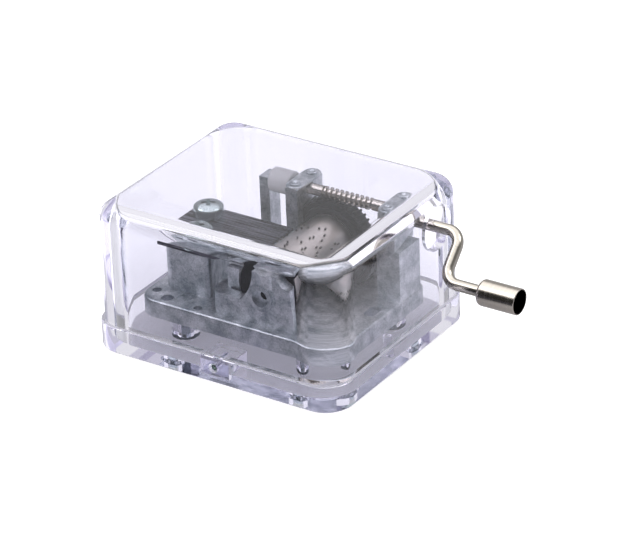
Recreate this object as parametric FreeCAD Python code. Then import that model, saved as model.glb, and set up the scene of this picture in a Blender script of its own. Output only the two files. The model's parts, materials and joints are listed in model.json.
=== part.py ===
"""Hand-crank music box: an 18-note cylinder movement in a clear plastic case.

Frame: origin at the middle of the base's underside, +X along the crank, +Y to the back, +Z up.
"""
import FreeCAD, Part
import math
import os

V = FreeCAD.Vector
X_AXIS = V(1, 0, 0)
Y_AXIS = V(0, 1, 0)
Z_AXIS = V(0, 0, 1)

# ---- fits and small allowances ----
SCREW_GAP = 0.05
RUNNING_GAP = 0.05
SEAT_GAP = 0.02
PART_GAP = 0.3
HOLE_END_GAP = 0.4
WELL_GAP = 0.45
WHEEL_SIDE_GAP = 0.6
JOIN = 0.1
OVERRUN = 1.0

# ---- clear case ----
ROOM_BESIDE_PLATE = 3.45
ROOM_BEFORE_PLATE = 6.5
HEAD_ROOM = 2.1
CASE_WALL = 2.0
CASE_CORNER = 5.4
CASE_INNER_CORNER = 8.0
CASE_TOP_EDGE = 4.0
CASE_INNER_TOP_EDGE = 0.6
RIM_LEDGE = 0.85
RIM_HEIGHT = 6.0
FLOOR = 2.0
BASE_EDGE = 0.4
POST_DIAMETER = 6.0
POST_HEIGHT = 3.9
TONGUE_WIDTH = 7.0
TONGUE_SKIN = 1.2
TONGUE_BOTTOM = 1.2
TONGUE_GAP = 0.1
SIDE_BOSS_LENGTH = 5.5
SIDE_BOSS_TOP = 5.0
SIDE_SCREW_X = 0.6
SIDE_SCREW_HEIGHT = 3.3
SIDE_SCREW_HEAD = 2.0
SIDE_SCREW_HEAD_LENGTH = 0.8
SIDE_SCREW_SOCKET = 0.7
SIDE_SCREW_SOCKET_DEPTH = 0.4
SIDE_SCREW_SHANK = 1.1
SIDE_SCREW_LENGTH = 4.6
SIDE_SCREW_HOLE_GAP = 0.15
PEG_DIAMETER = 1.8
PEG_HEIGHT = 4.6
PEG_Y = -1.7
CRANK_HOLE = 10.3
CRANK_HOLE_OFFSET_Y = 3.0
CRANK_HOLE_OFFSET_Z = -2.1

# ---- die-cast bedplate ----
PLATE_LENGTH = 49.5
PLATE_WIDTH = 34.4
PLATE_THICKNESS = 3.9
PLATE_CORNER = 4.5
PLATE_BACK_CORNER = 2.5
PLATE_EDGE = 0.5
BLOCK_INSET_LEFT = 2.65
BLOCK_INSET_FRONT = 6.6
BLOCK_LENGTH = 16.5
BLOCK_CORNER = 2.5
BLOCK_RIGHT_CORNER = 1.0
FRONT_WALL_INSET = 2.3
FRONT_WALL_THICKNESS = 2.9
FRONT_WALL_REACH = 13.5
FRONT_WALL_RIGHT_REACH = 7.8
FRONT_WALL_HEIGHT = 4.9
FRONT_WALL_CORNER = 1.2
HOOK_RADIUS = 3.0
HOOK_INNER_RADIUS = 1.2
HOOK_END = 2.0
BRACKET_FOOT = 5.6
BRACKET_NECK_LEFT = 2.3
BRACKET_NECK_RIGHT = 3.7
BRACKET_RISE = 5.55
BRACKET_SHOULDER_RISE = 3.15
BRACKET_SHOULDER_INSET = 0.8
BRACKET_FLANK_BULGE = (0.9, 0.4)
BRACKET_SLOPE_BULGE = (1.0, 0.6)
BOSS_DIAMETER = 5.7
BOSS_LENGTH = 0.9
BOSS_BORE = 3.9
BOSS_BORE_DEPTH = 2.2
BOSS_STEP = 0.4
NECK_RIB_RADIUS = 3.0
NECK_RIB_PROUD = 0.7
STOP_LENGTH = 3.1
STOP_THICKNESS = 1.6
STOP_GAP = 0.2
STOP_BEFORE_TUBE = 0.5
STOP_BELOW_TEETH = 0.7
BACK_WALL_THICKNESS = 2.0
BACK_WALL_HALF = 8.0
BACK_BOSS_RADIUS = 4.4
ROD_INSET = 4.9
COLUMN_THICKNESS = 3.0
COLUMN_END = 1.68
INNER_BEARING_OFFSET = 7.7
OUTER_BEARING_INSET = 2.85
PIER_DROP = 5.5
PIER_REACH_LEFT = 3.0
PIER_EDGE = 0.2
PIER_REACH_FRONT = 5.4
PIER_REACH_BACK = 2.6
PIER_STEP = 0.5
PIER_NECK_DROP = 2.4
PIER_WEB = 1.2
PILLAR_OFFSET = 8.9
PILLAR_THICKNESS = 2.5
PILLAR_WIDTH = 3.9
PILLAR_ABOVE_ROD = 0.9
FLANGE_HOLES = ((2.35, 4.5, 1.0), (6.35, 2.7, 1.35), (14.65, 2.1, 0.95))
FLANGE_DIMPLE = (9.65, 4.3, 1.7)
FLANGE_DIMPLE_DEPTH = 0.4
END_HOLE_LENGTH = 2.6
END_HOLE_WIDTH = 4.4
END_HOLE_CORNER = 1.2
END_HOLE_INSET = 3.25
END_HOLE_Y = 0.7

# ---- movement screws: from the left or right edge, then from the front edge ----
LEFT_SCREW_PLACES = ((7.25, 20.5), (10.25, 3.3))
RIGHT_SCREW_PLACES = ((7.75, 4.1), (4.75, 27.5))
MOVEMENT_SCREW_SHANK = 2.0
MOVEMENT_SCREW_GRIP = 2.7
MOVEMENT_SCREW_HEAD = 4.0
MOVEMENT_SCREW_HEAD_HEIGHT = 1.2
MOVEMENT_SCREW_CROSS = (2.2, 0.6, 0.7)
SCREW_HEAD_GAP = 0.2
SCREW_HEAD_RECESS = 0.3
PAN_HEAD_TOP = 0.7
PAN_HEAD_EDGE = 0.4

# ---- cylinder, pins and worm drive ----
CYLINDER_X = 6.4
CYLINDER_RISE = 6.85
TUBE_DIAMETER = 12.7
TUBE_WALL = 0.6
PIN_DIAMETER = 0.45
PIN_HEIGHT = 0.4
PIN_DEPTH = 1.2
RESIN_THICKNESS = 1.2
ARBOR_DIAMETER = 2.0
ARBOR_END_GRIP = 1.8
ROD_DIAMETER = 2.5
WORM_PITCH = 1.25
WORM_DIAMETER = 2.8
WORM_TURNS = 10
WORM_LEAD_TURNS = 2
THREAD_TIP = 0.36
THREAD_ROOT = 0.70
THREAD_DEPTH = 0.57
THREAD_SINK = 0.15
MESH_DEPTH = 0.45
WHEEL_TEETH = 45
WHEEL_TIP_RADIUS = 9.3
WHEEL_THICKNESS = 3.6
WHEEL_HUB_RADIUS = 8.0
WHEEL_HUB_LENGTH = 0.8
WHEEL_HUB_RIM = 0.45
WHEEL_RECESS = 0.5
WHEEL_RECESS_STEP = 0.3
WHEEL_FLANGE = 0.8
WHEEL_FLANGE_BELOW_TIP = 0.23
END_CAP_RADIUS = 7.8
END_CAP_THICKNESS = 0.8
END_CAP_HUB = 0.4
SPIGOT_LENGTH = 2.5

# ---- the tune: a fixed mixing rule that spaces the pins ----
TUNE_START = 7
TUNE_FACTOR = 137
TUNE_STEP = 61
TUNE_CYCLE = 1009
PIN_ANGLE_LEAST = 22
PIN_ANGLE_SPREAD = 61
PIN_ANGLE_END = 350

# ---- comb ----
TEETH = 18
TOOTH_GAP = 0.18
COMB_FRONT_GAP = 0.32
COMB_BACK_GAP = 4.61
COMB_RISE = 3.95
COMB_THICKNESS = 1.1
TOOTH_THICKNESS = 0.5
TOOTH_ROOT_LAP = 0.6
TOOTH_ROOT_LENGTH = 1.6
TOOTH_ROOT_DROP = 0.1
TOOTH_TAPER_LENGTH = 3.4
TIP_GAP = 0.1
COMB_INSET = 1.35
COMB_CORNER = 0.2
COMB_SCREW_PLACES = ((4.6, 0.27), (8.6, -0.36))
ROOT_OFFSET = 4.4
COMB_SCREW_HEAD = 6.6
COMB_SCREW_HEAD_HEIGHT = 2.3
COMB_SCREW_DOME = ((0.0, 0.95), (0.12, 1.0), (0.55, 1.0), (0.72, 0.94), (0.85, 0.8), (0.94, 0.55), (1.0, 0.0))
COMB_SCREW_SHANK = 2.6
COMB_SCREW_LENGTH = 6.0
COMB_SCREW_HOLE_GAP = 0.2
COMB_SCREW_CROSS = (3.4, 0.76, 1.15)
COMB_SCREW_TURN = 35
WEIGHTS = 9
WEIGHT_LENGTH = 2.6
WEIGHT_HEIGHT = 1.5
WEIGHT_SETBACK = 1.4
WEIGHT_TAPER = 0.6
DAMPER_DIAMETER = 0.16
DAMPER_LENGTH = 3.0
DAMPER_SETBACK = 0.5

# ---- bearing caps and thrust bush ----
CAP_WIDTH = 4.0
CAP_THICKNESS = 0.7
RIVET_SPACING = 6.4
RIVET_HEAD = 2.6
RIVET_HEAD_TOP = 2.1
RIVET_HEAD_HEIGHT = 0.4
RIVET_SHANK = 1.5
RIVET_LENGTH = 3.0
RIVET_DIMPLE = 1.5
RIVET_DIMPLE_FLOOR = 0.6
RIVET_DIMPLE_SKIN = 0.08
BUSH_DIAMETER = 5.4
BUSH_COLUMN_GAP = 1.0
BUSH_STUB = 1.6
BUSH_STUB_LENGTH = 1.6
BUSH_END_WALL = 1.2

# ---- crank and handle ----
CRANK_REACH = 7.8
CRANK_STRAIGHT = 8.0
ARM_Y = -7.6
ARM_Z = -7.8
BEND_RADIUS = 3.2
HANDLE_REACH = 8.5
HANDLE_LENGTH = 9.7
HANDLE_DIAMETER = 5.7
HANDLE_WALL = 0.3
HANDLE_SHOULDER = 1.2
HANDLE_NECK = 3.3
HANDLE_NECK_LENGTH = 0.5
HANDLE_ROUNDING = ((0.0, 0.8), (0.15, 0.35), (0.5, 0.08), (1.0, 0.0))
HANDLE_LIP = 0.1
RETAINER_DIAMETER = 4.2
RETAINER_THICKNESS = 0.8
ROD_STUB = 0.6

# ---- worked out from the sizes above ----
PLATE_LEFT = -PLATE_LENGTH / 2
PLATE_RIGHT = PLATE_LENGTH / 2
PLATE_FRONT = -PLATE_WIDTH / 2
PLATE_BACK = PLATE_WIDTH / 2
PLATE_BOTTOM = FLOOR + POST_HEIGHT
PLATE_TOP = PLATE_BOTTOM + PLATE_THICKNESS
CASTING_FOOT = PLATE_TOP - OVERRUN
TUBE_RADIUS = TUBE_DIAMETER / 2
PIN_CIRCLE = TUBE_RADIUS + PIN_HEIGHT
ROD_RADIUS = ROD_DIAMETER / 2
WORM_RADIUS = WORM_DIAMETER / 2
CYLINDER_Z = PLATE_TOP + CYLINDER_RISE
ROD_Y = PLATE_BACK - ROD_INSET
ROD_Z = CYLINDER_Z + WHEEL_TIP_RADIUS + WORM_RADIUS - MESH_DEPTH
WHEEL_FRONT = ROD_Y - WHEEL_THICKNESS / 2
WHEEL_BACK = ROD_Y + WHEEL_THICKNESS / 2
LINING_RADIUS = TUBE_RADIUS - TUBE_WALL - SEAT_GAP
SPIGOT_RADIUS = LINING_RADIUS - RESIN_THICKNESS - SEAT_GAP
FRONT_WALL_FACE = PLATE_FRONT + FRONT_WALL_INSET
FRONT_WALL_BACK = FRONT_WALL_FACE + FRONT_WALL_THICKNESS
FRONT_WALL_TOP = PLATE_TOP + FRONT_WALL_HEIGHT
FRONT_WALL_LEFT = CYLINDER_X - FRONT_WALL_REACH
FRONT_WALL_RIGHT = CYLINDER_X + FRONT_WALL_RIGHT_REACH
BOSS_FACE = FRONT_WALL_FACE - BOSS_LENGTH
TUBE_FRONT = FRONT_WALL_BACK + END_CAP_HUB + END_CAP_THICKNESS
TUBE_BACK = WHEEL_FRONT - WHEEL_HUB_LENGTH
BACK_WALL_FRONT = WHEEL_BACK + WHEEL_SIDE_GAP
BACK_WALL_BACK = BACK_WALL_FRONT + BACK_WALL_THICKNESS
COMB_TOP = CYLINDER_Z + COMB_RISE
COMB_BOTTOM = COMB_TOP - COMB_THICKNESS
COMB_LEFT = PLATE_LEFT + COMB_INSET
TOOTH_BOTTOM = COMB_TOP - TOOTH_THICKNESS
TIP_DROP = TOOTH_BOTTOM - CYLINDER_Z
TIP_X = CYLINDER_X - math.sqrt(PIN_CIRCLE ** 2 - TIP_DROP ** 2) - TIP_GAP
COMB_FRONT = TUBE_FRONT + COMB_FRONT_GAP
COMB_BACK = TUBE_BACK - COMB_BACK_GAP
COMB_MIDDLE = (COMB_FRONT + COMB_BACK) / 2
COMB_WIDTH = COMB_BACK - COMB_FRONT
TOOTH_PITCH = (COMB_WIDTH + TOOTH_GAP) / TEETH
TOOTH_HALF = (TOOTH_PITCH - TOOTH_GAP) / 2
BLOCK_LEFT = PLATE_LEFT + BLOCK_INSET_LEFT
BLOCK_FRONT = PLATE_FRONT + BLOCK_INSET_FRONT
BLOCK_BACK = BLOCK_FRONT + BLOCK_LENGTH
INNER_BEARING_X = CYLINDER_X - INNER_BEARING_OFFSET
OUTER_BEARING_X = PLATE_RIGHT - OUTER_BEARING_INSET
PIER_TOP = ROD_Z - PIER_DROP
COLUMN_TOP = ROD_Z + ROD_RADIUS + RUNNING_GAP
COLUMN_REACH = RIVET_SPACING / 2 + COLUMN_END
PILLAR_X = INNER_BEARING_X - PILLAR_OFFSET
PILLAR_RIGHT = PILLAR_X + PILLAR_THICKNESS / 2
BUSH_RIGHT = INNER_BEARING_X - COLUMN_THICKNESS / 2 - BUSH_COLUMN_GAP
INNER_LENGTH = PLATE_LENGTH + 2 * ROOM_BESIDE_PLATE
INNER_WIDTH = PLATE_WIDTH + 2 * ROOM_BEFORE_PLATE
CASE_LENGTH = INNER_LENGTH + 2 * CASE_WALL
CASE_WIDTH = INNER_WIDTH + 2 * CASE_WALL
CEILING = COLUMN_TOP + CAP_THICKNESS + RIVET_HEAD_HEIGHT + HEAD_ROOM
CASE_HEIGHT = CEILING + CASE_WALL
BEND_X = CASE_LENGTH / 2 + CRANK_REACH
HANDLE_Y = ROD_Y + ARM_Y
HANDLE_Z = ROD_Z + ARM_Z
HANDLE_START = BEND_X + HANDLE_REACH


def cylinder(radius, start, end):
    """A round bar between two points."""
    axis = end - start
    return Part.makeCylinder(radius, axis.Length, start, axis)


def upright(x, y, radius, z0, z1):
    """A round bar parallel to Z."""
    return cylinder(radius, V(x, y, z0), V(x, y, z1))


def along_x(x0, x1, radius, y=ROD_Y, z=ROD_Z):
    """A round bar parallel to X, on the crank's axis unless told otherwise."""
    return cylinder(radius, V(x0, y, z), V(x1, y, z))


def along_y(y0, y1, radius):
    """A round bar on the music cylinder's axis."""
    return cylinder(radius, V(CYLINDER_X, y0, CYLINDER_Z), V(CYLINDER_X, y1, CYLINDER_Z))


def ring(y0, y1, outer, inner):
    """A tube on the music cylinder's axis."""
    return along_y(y0, y1, outer).cut(along_y(y0 - OVERRUN, y1 + OVERRUN, inner))


def block(x0, x1, y0, y1, z0, z1):
    """A box between two corners."""
    return Part.makeBox(x1 - x0, y1 - y0, z1 - z0, V(x0, y0, z0))


def rounded_wire(points, z):
    """A closed outline at height z; each point is (x, y, corner radius)."""
    corners = []
    count = len(points)
    for i, (x, y, radius) in enumerate(points):
        here = V(x, y, z)
        before = V(points[i - 1][0], points[i - 1][1], z)
        after = V(points[(i + 1) % count][0], points[(i + 1) % count][1], z)
        back = (before - here).normalize()
        ahead = (after - here).normalize()
        if radius <= 0:
            corners.append((here, None, here))
            continue
        half = back.getAngle(ahead) / 2
        cut = radius / math.tan(half)
        middle = here + (back + ahead).normalize() * (radius / math.sin(half) - radius)
        corners.append((here + back * cut, middle, here + ahead * cut))
    edges = []
    for i, (start, middle, end) in enumerate(corners):
        if middle is not None:
            edges.append(Part.Arc(start, middle, end).toShape())
        following = corners[(i + 1) % count][0]
        if end.distanceToPoint(following) > 1e-6:
            edges.append(Part.LineSegment(end, following).toShape())
    return Part.Wire(edges)


def prism(points, z0, z1):
    """An upright prism with rounded corners."""
    return Part.Face(rounded_wire(points, z0)).extrude(V(0, 0, z1 - z0))


def rounded_box(length, width, corner, z0, z1, x=0.0, y=0.0):
    """A prism with four equal corners about an upright axis."""
    half_length = length / 2
    half_width = width / 2
    signs = ((-1, -1), (1, -1), (1, 1), (-1, 1))
    return prism([(x + sx * half_length, y + sy * half_width, corner) for sx, sy in signs], z0, z1)


def edges_at(solid, z):
    """Edges that lie in the horizontal plane z."""
    return [edge for edge in solid.Edges if abs(edge.BoundBox.ZMin - z) + abs(edge.BoundBox.ZMax - z) < 1e-6]


def turned(profile, centre, axis):
    """A solid turned from (distance along the axis, radius) points."""
    points = [V(radius, 0, along) for along, radius in profile]
    face = Part.Face(Part.makePolygon(points + points[:1]))
    solid = face.revolve(V(0, 0, 0), Z_AXIS, 360)
    solid.Placement = FreeCAD.Placement(centre, FreeCAD.Rotation(Z_AXIS, axis))
    return solid


def pan_head(radius, height, top, inward):
    """A low screw head whose outer face is centred on `top`."""
    profile = [(0, 0), (0, radius * PAN_HEAD_TOP), (height * PAN_HEAD_EDGE, radius), (height, radius), (height, 0)]
    return turned(profile, top, inward)


def cross_recess(size, x, y, z0, z1, turn):
    """Two crossed blades (length, width) that cut a cross recess."""
    length, width = size
    blades = []
    for angle in (turn, turn + 90):
        blade = block(-length / 2, length / 2, -width / 2, width / 2, z0, z1)
        blade.Placement = FreeCAD.Placement(V(x, y, 0), FreeCAD.Rotation(Z_AXIS, angle))
        blades.append(blade)
    return blades


def fused(shapes):
    """One solid from overlapping ones."""
    return shapes[0].multiFuse(shapes[1:]).removeSplitter()


# ---- places shared by several pieces ----
def movement_screw_places():
    """Centres of the four screws that hold the bedplate."""
    left = [(PLATE_LEFT + x, PLATE_FRONT + y) for x, y in LEFT_SCREW_PLACES]
    right = [(PLATE_RIGHT - x, PLATE_FRONT + y) for x, y in RIGHT_SCREW_PLACES]
    return left + right


def comb_screw_places():
    """Centres of the two comb screws, on a slanted line."""
    return [(COMB_LEFT + x, COMB_MIDDLE + share * COMB_WIDTH) for x, share in COMB_SCREW_PLACES]


def rivet_places():
    """Tops of the columns where the bearing caps are riveted."""
    half = RIVET_SPACING / 2
    xs = (INNER_BEARING_X, OUTER_BEARING_X)
    return [V(x, ROD_Y + side * half, COLUMN_TOP) for x in xs for side in (-1, 1)]


def root_x(y):
    """Where the comb's teeth begin: a line beside the screws."""
    (x0, y0), (x1, y1) = comb_screw_places()
    return x0 + (x1 - x0) * (y - y0) / (y1 - y0) + ROOT_OFFSET


def tooth_y(index):
    """Middle of a comb tooth and of its pin track."""
    return COMB_MIDDLE + (index - (TEETH - 1) / 2) * TOOTH_PITCH


def side_screw_seat(side):
    """Where a side screw's head sits on its tongue, and the direction into the case."""
    seat = side * (CASE_WIDTH / 2 + RIM_LEDGE - TONGUE_SKIN - TONGUE_GAP)
    return V(SIDE_SCREW_X, seat, SIDE_SCREW_HEIGHT), V(0, -side, 0)


def side_block(width, y0, y1, z0, z1):
    """A block centred on the side screws, between two depths given in either order."""
    near, far = sorted((y0, y1))
    return block(SIDE_SCREW_X - width / 2, SIDE_SCREW_X + width / 2, near, far, z0, z1)


# ---- case ----
def case_base():
    """The clear tray that carries the movement on four posts."""
    length = CASE_LENGTH + 2 * RIM_LEDGE
    width = CASE_WIDTH + 2 * RIM_LEDGE
    base = rounded_box(length, width, CASE_CORNER + RIM_LEDGE, 0, RIM_HEIGHT)
    base = base.makeChamfer(BASE_EDGE, edges_at(base, 0))
    base = base.cut(rounded_box(INNER_LENGTH, INNER_WIDTH, CASE_INNER_CORNER, FLOOR, RIM_HEIGHT + OVERRUN))
    posts = []
    holes = []
    for x, y in movement_screw_places():
        posts.append(upright(x, y, POST_DIAMETER / 2, FLOOR / 2, PLATE_BOTTOM))
        holes.append(upright(x, y, MOVEMENT_SCREW_SHANK / 2 + SCREW_GAP, -OVERRUN, PLATE_BOTTOM + OVERRUN))
        recess = MOVEMENT_SCREW_HEAD / 2 + SCREW_HEAD_GAP
        holes.append(upright(x, y, recess, -OVERRUN, MOVEMENT_SCREW_HEAD_HEIGHT + SCREW_HEAD_RECESS))
    peg_x = (PLATE_RIGHT + PART_GAP + INNER_LENGTH / 2) / 2
    posts.append(upright(peg_x, PEG_Y, PEG_DIAMETER / 2, FLOOR / 2, FLOOR + PEG_HEIGHT))
    slot_width = TONGUE_WIDTH + 2 * TONGUE_GAP
    slot_bottom = TONGUE_BOTTOM - TONGUE_GAP
    for side in (-1, 1):
        skin = side * (CASE_WIDTH / 2 + RIM_LEDGE - TONGUE_SKIN)
        inner = side * (INNER_WIDTH / 2 - TONGUE_GAP)
        holes.append(side_block(slot_width, skin, inner, slot_bottom, RIM_HEIGHT + OVERRUN))
        posts.append(side_block(TONGUE_WIDTH, inner, inner - side * SIDE_BOSS_LENGTH, FLOOR / 2, SIDE_BOSS_TOP))
        seat, inward = side_screw_seat(side)
        outside = seat - inward * (TONGUE_GAP + TONGUE_SKIN + OVERRUN)
        shank_end = seat + inward * (SIDE_SCREW_LENGTH + HOLE_END_GAP)
        holes.append(cylinder(SIDE_SCREW_HEAD / 2 + TONGUE_GAP, outside, seat))
        holes.append(cylinder(SIDE_SCREW_SHANK / 2 + SCREW_GAP, seat, shank_end))
    return fused([base] + posts).cut(holes)


def case_cover():
    """The clear lid; two tongues on its long sides reach down into the tray."""
    cover = rounded_box(CASE_LENGTH, CASE_WIDTH, CASE_CORNER, RIM_HEIGHT, CASE_HEIGHT)
    cover = cover.makeFillet(CASE_TOP_EDGE, edges_at(cover, CASE_HEIGHT))
    room = rounded_box(INNER_LENGTH, INNER_WIDTH, CASE_INNER_CORNER, RIM_HEIGHT - OVERRUN, CEILING)
    room = room.makeFillet(CASE_INNER_TOP_EDGE, edges_at(room, CEILING))
    hole_y = ROD_Y + CRANK_HOLE_OFFSET_Y
    hole_z = ROD_Z + CRANK_HOLE_OFFSET_Z
    hole = along_x(INNER_LENGTH / 2 - CASE_WALL, CASE_LENGTH / 2 + OVERRUN, CRANK_HOLE / 2, hole_y, hole_z)
    cover = cover.cut([room, hole])
    tongues = []
    holes = []
    for side in (-1, 1):
        seat, inward = side_screw_seat(side)
        tongues.append(side_block(TONGUE_WIDTH, seat.y, side * INNER_WIDTH / 2, TONGUE_BOTTOM, RIM_HEIGHT + OVERRUN))
        hole = SIDE_SCREW_SHANK / 2 + SIDE_SCREW_HOLE_GAP
        holes.append(cylinder(hole, seat - inward * OVERRUN, seat + inward * (CASE_WALL + OVERRUN)))
    return fused([cover] + tongues).cut(holes)


def case_screws():
    """Two short screws that hold the cover's tongues in the base, from the front and the back."""
    screws = []
    for side in (-1, 1):
        seat, inward = side_screw_seat(side)
        top = seat - inward * SIDE_SCREW_HEAD_LENGTH
        head = pan_head(SIDE_SCREW_HEAD / 2, SIDE_SCREW_HEAD_LENGTH, top, inward)
        socket = cylinder(SIDE_SCREW_SOCKET / 2, top - inward * OVERRUN, top + inward * SIDE_SCREW_SOCKET_DEPTH)
        shank = cylinder(SIDE_SCREW_SHANK / 2, seat - inward * JOIN, seat + inward * SIDE_SCREW_LENGTH)
        screws.append(fused([head.cut(socket), shank]))
    return Part.makeCompound(screws)


def movement_screws():
    """Pan-head screws from under the base into the bedplate."""
    screws = []
    length, width, depth = MOVEMENT_SCREW_CROSS
    for x, y in movement_screw_places():
        place = V(x, y, SCREW_HEAD_RECESS)
        head = pan_head(MOVEMENT_SCREW_HEAD / 2, MOVEMENT_SCREW_HEAD_HEIGHT, place, Z_AXIS)
        shank_end = PLATE_BOTTOM + MOVEMENT_SCREW_GRIP
        shank = upright(x, y, MOVEMENT_SCREW_SHANK / 2, SCREW_HEAD_RECESS + JOIN, shank_end)
        cross = cross_recess((length, width), x, y, -OVERRUN, SCREW_HEAD_RECESS + depth, 0)
        screws.append(fused([head, shank]).cut(cross))
    return Part.makeCompound(screws)


# ---- bedplate ----
def base_plate():
    """The flat plate under the whole movement, with a rounded top edge."""
    outline = [(PLATE_LEFT, PLATE_FRONT, PLATE_CORNER), (PLATE_RIGHT, PLATE_FRONT, PLATE_CORNER)]
    outline += [(PLATE_RIGHT, PLATE_BACK, PLATE_BACK_CORNER), (PLATE_LEFT, PLATE_BACK, PLATE_CORNER)]
    plate = prism(outline, PLATE_BOTTOM, PLATE_TOP)
    return plate.makeFillet(PLATE_EDGE, edges_at(plate, PLATE_TOP))


def comb_block():
    """The raised block under the comb; its right side is parallel to the screws."""
    right_front = root_x(BLOCK_FRONT) - PART_GAP
    right_back = root_x(BLOCK_BACK) - PART_GAP
    outline = [(BLOCK_LEFT, BLOCK_FRONT, BLOCK_CORNER), (right_front, BLOCK_FRONT, BLOCK_RIGHT_CORNER)]
    outline += [(right_back, BLOCK_BACK, BLOCK_RIGHT_CORNER), (BLOCK_LEFT, BLOCK_BACK, BLOCK_CORNER)]
    return prism(outline, CASTING_FOOT, COMB_BOTTOM)


def front_wall():
    """The low wall along the front; its left end turns back to the comb block."""
    left = FRONT_WALL_LEFT
    turn = FRONT_WALL_LEFT + FRONT_WALL_THICKNESS
    hook_end = BLOCK_FRONT + HOOK_END
    outline = [(left, FRONT_WALL_FACE, HOOK_RADIUS), (FRONT_WALL_RIGHT, FRONT_WALL_FACE, FRONT_WALL_CORNER)]
    outline += [(FRONT_WALL_RIGHT, FRONT_WALL_BACK, FRONT_WALL_CORNER), (turn, FRONT_WALL_BACK, HOOK_INNER_RADIUS)]
    outline += [(turn, hook_end, 0), (left, hook_end, 0)]
    return prism(outline, CASTING_FOOT, FRONT_WALL_TOP)


def front_bracket():
    """The upright that carries the music cylinder's front end, with concave flanks and a ribbed neck."""
    y0 = FRONT_WALL_FACE
    top = CYLINDER_Z + BRACKET_RISE
    shoulder = CYLINDER_Z + BRACKET_SHOULDER_RISE
    left = CYLINDER_X - BRACKET_FOOT
    neck_left = CYLINDER_X - BRACKET_NECK_LEFT
    neck_right = CYLINDER_X + BRACKET_NECK_RIGHT
    right = FRONT_WALL_RIGHT
    flank_x, flank_z = BRACKET_FLANK_BULGE
    slope_x, slope_z = BRACKET_SLOPE_BULGE
    flank = V(neck_left - flank_x, y0, (top + FRONT_WALL_TOP) / 2 - flank_z)
    slope = V(neck_right + slope_x, y0, (top + shoulder) / 2 - slope_z)
    corners = [V(left, y0, FRONT_WALL_TOP), V(neck_left, y0, top), V(neck_right, y0, top)]
    corners += [V(right - BRACKET_SHOULDER_INSET, y0, shoulder), V(right, y0, PLATE_TOP), V(left, y0, PLATE_TOP)]
    edges = [Part.Arc(corners[0], flank, corners[1]), Part.LineSegment(corners[1], corners[2])]
    edges.append(Part.Arc(corners[2], slope, corners[3]))
    for here, there in zip(corners[3:], corners[4:] + corners[:1]):
        edges.append(Part.LineSegment(here, there))
    web = Part.Face(Part.Wire([edge.toShape() for edge in edges])).extrude(V(0, FRONT_WALL_THICKNESS, 0))
    boss = along_y(BOSS_FACE, FRONT_WALL_BACK, BOSS_DIAMETER / 2)
    step = along_y(y0 - BOSS_STEP, FRONT_WALL_BACK, BOSS_DIAMETER / 2 + BOSS_STEP)
    rib_y = y0 - NECK_RIB_PROUD + NECK_RIB_RADIUS
    rib = upright((neck_left + neck_right) / 2, rib_y, NECK_RIB_RADIUS, CYLINDER_Z, top)
    rib = rib.common(block(neck_left, neck_right, BOSS_FACE, FRONT_WALL_BACK, CYLINDER_Z, top))
    return fused([web, boss, step, rib])


def comb_stop():
    """A small upright below the front teeth, beside the cylinder's cap."""
    right = CYLINDER_X - END_CAP_RADIUS - STOP_GAP
    front = TUBE_FRONT - STOP_BEFORE_TUBE
    top = TOOTH_BOTTOM - STOP_BELOW_TEETH
    return block(right - STOP_LENGTH, right, front, front + STOP_THICKNESS, CASTING_FOOT, top)


def back_wall():
    """The wall behind the worm wheel that carries the arbor's back end."""
    left = CYLINDER_X - BACK_WALL_HALF
    right = CYLINDER_X + BACK_WALL_HALF
    wall = block(left, right, BACK_WALL_FRONT, BACK_WALL_BACK, CASTING_FOOT, CYLINDER_Z)
    return wall.fuse(along_y(BACK_WALL_FRONT, BACK_WALL_BACK, BACK_BOSS_RADIUS))


def inner_column():
    """The column beside the thrust bush; the crank rod lies in a slot in its top."""
    half = COLUMN_THICKNESS / 2
    front = ROD_Y - COLUMN_REACH
    back = ROD_Y + COLUMN_REACH
    return block(INNER_BEARING_X - half, INNER_BEARING_X + half, front, back, CASTING_FOOT, COLUMN_TOP)


def outer_pier():
    """The heavy pier at the crank end, with a sloping bearing housing on top."""
    left = OUTER_BEARING_X - PIER_REACH_LEFT
    front = ROD_Y - PIER_REACH_FRONT
    back = ROD_Y + COLUMN_REACH
    bearing_left = OUTER_BEARING_X - COLUMN_THICKNESS / 2
    neck = ROD_Z - PIER_NECK_DROP
    pier = block(left, PLATE_RIGHT - PIER_EDGE, front, ROD_Y + PIER_REACH_BACK, CASTING_FOOT, PIER_TOP)
    web = block(left, bearing_left + PIER_WEB, front, back, PIER_TOP - OVERRUN, neck + OVERRUN)
    corners = [(front, PIER_TOP - PIER_STEP), (ROD_Y - COLUMN_REACH, COLUMN_TOP), (back, COLUMN_TOP), (back, neck)]
    outline = [V(bearing_left, y, z) for y, z in corners + corners[:1]]
    housing = Part.Face(Part.makePolygon(outline)).extrude(V(COLUMN_THICKNESS, 0, 0))
    return fused([pier, web, housing])


def bush_pillar():
    """The pillar that holds the thrust bush's stub."""
    half = PILLAR_WIDTH / 2
    left = PILLAR_RIGHT - PILLAR_THICKNESS
    return block(left, PILLAR_RIGHT, ROD_Y - half, ROD_Y + half, CASTING_FOOT, ROD_Z + PILLAR_ABOVE_ROD)


def casting_wells():
    """Room for the cylinder, its cap and the worm wheel, and the bores on their axis."""
    return [
        along_y(FRONT_WALL_BACK, BACK_WALL_FRONT, PIN_CIRCLE + WELL_GAP),
        along_y(FRONT_WALL_BACK, TUBE_FRONT + PART_GAP, END_CAP_RADIUS + WELL_GAP),
        along_y(TUBE_BACK - PART_GAP, BACK_WALL_FRONT, WHEEL_TIP_RADIUS + WELL_GAP),
        along_y(BOSS_FACE - OVERRUN, BACK_WALL_BACK + OVERRUN, ARBOR_DIAMETER / 2 + RUNNING_GAP),
        along_y(BOSS_FACE - OVERRUN, BOSS_FACE + BOSS_BORE_DEPTH, BOSS_BORE / 2),
    ]


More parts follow.
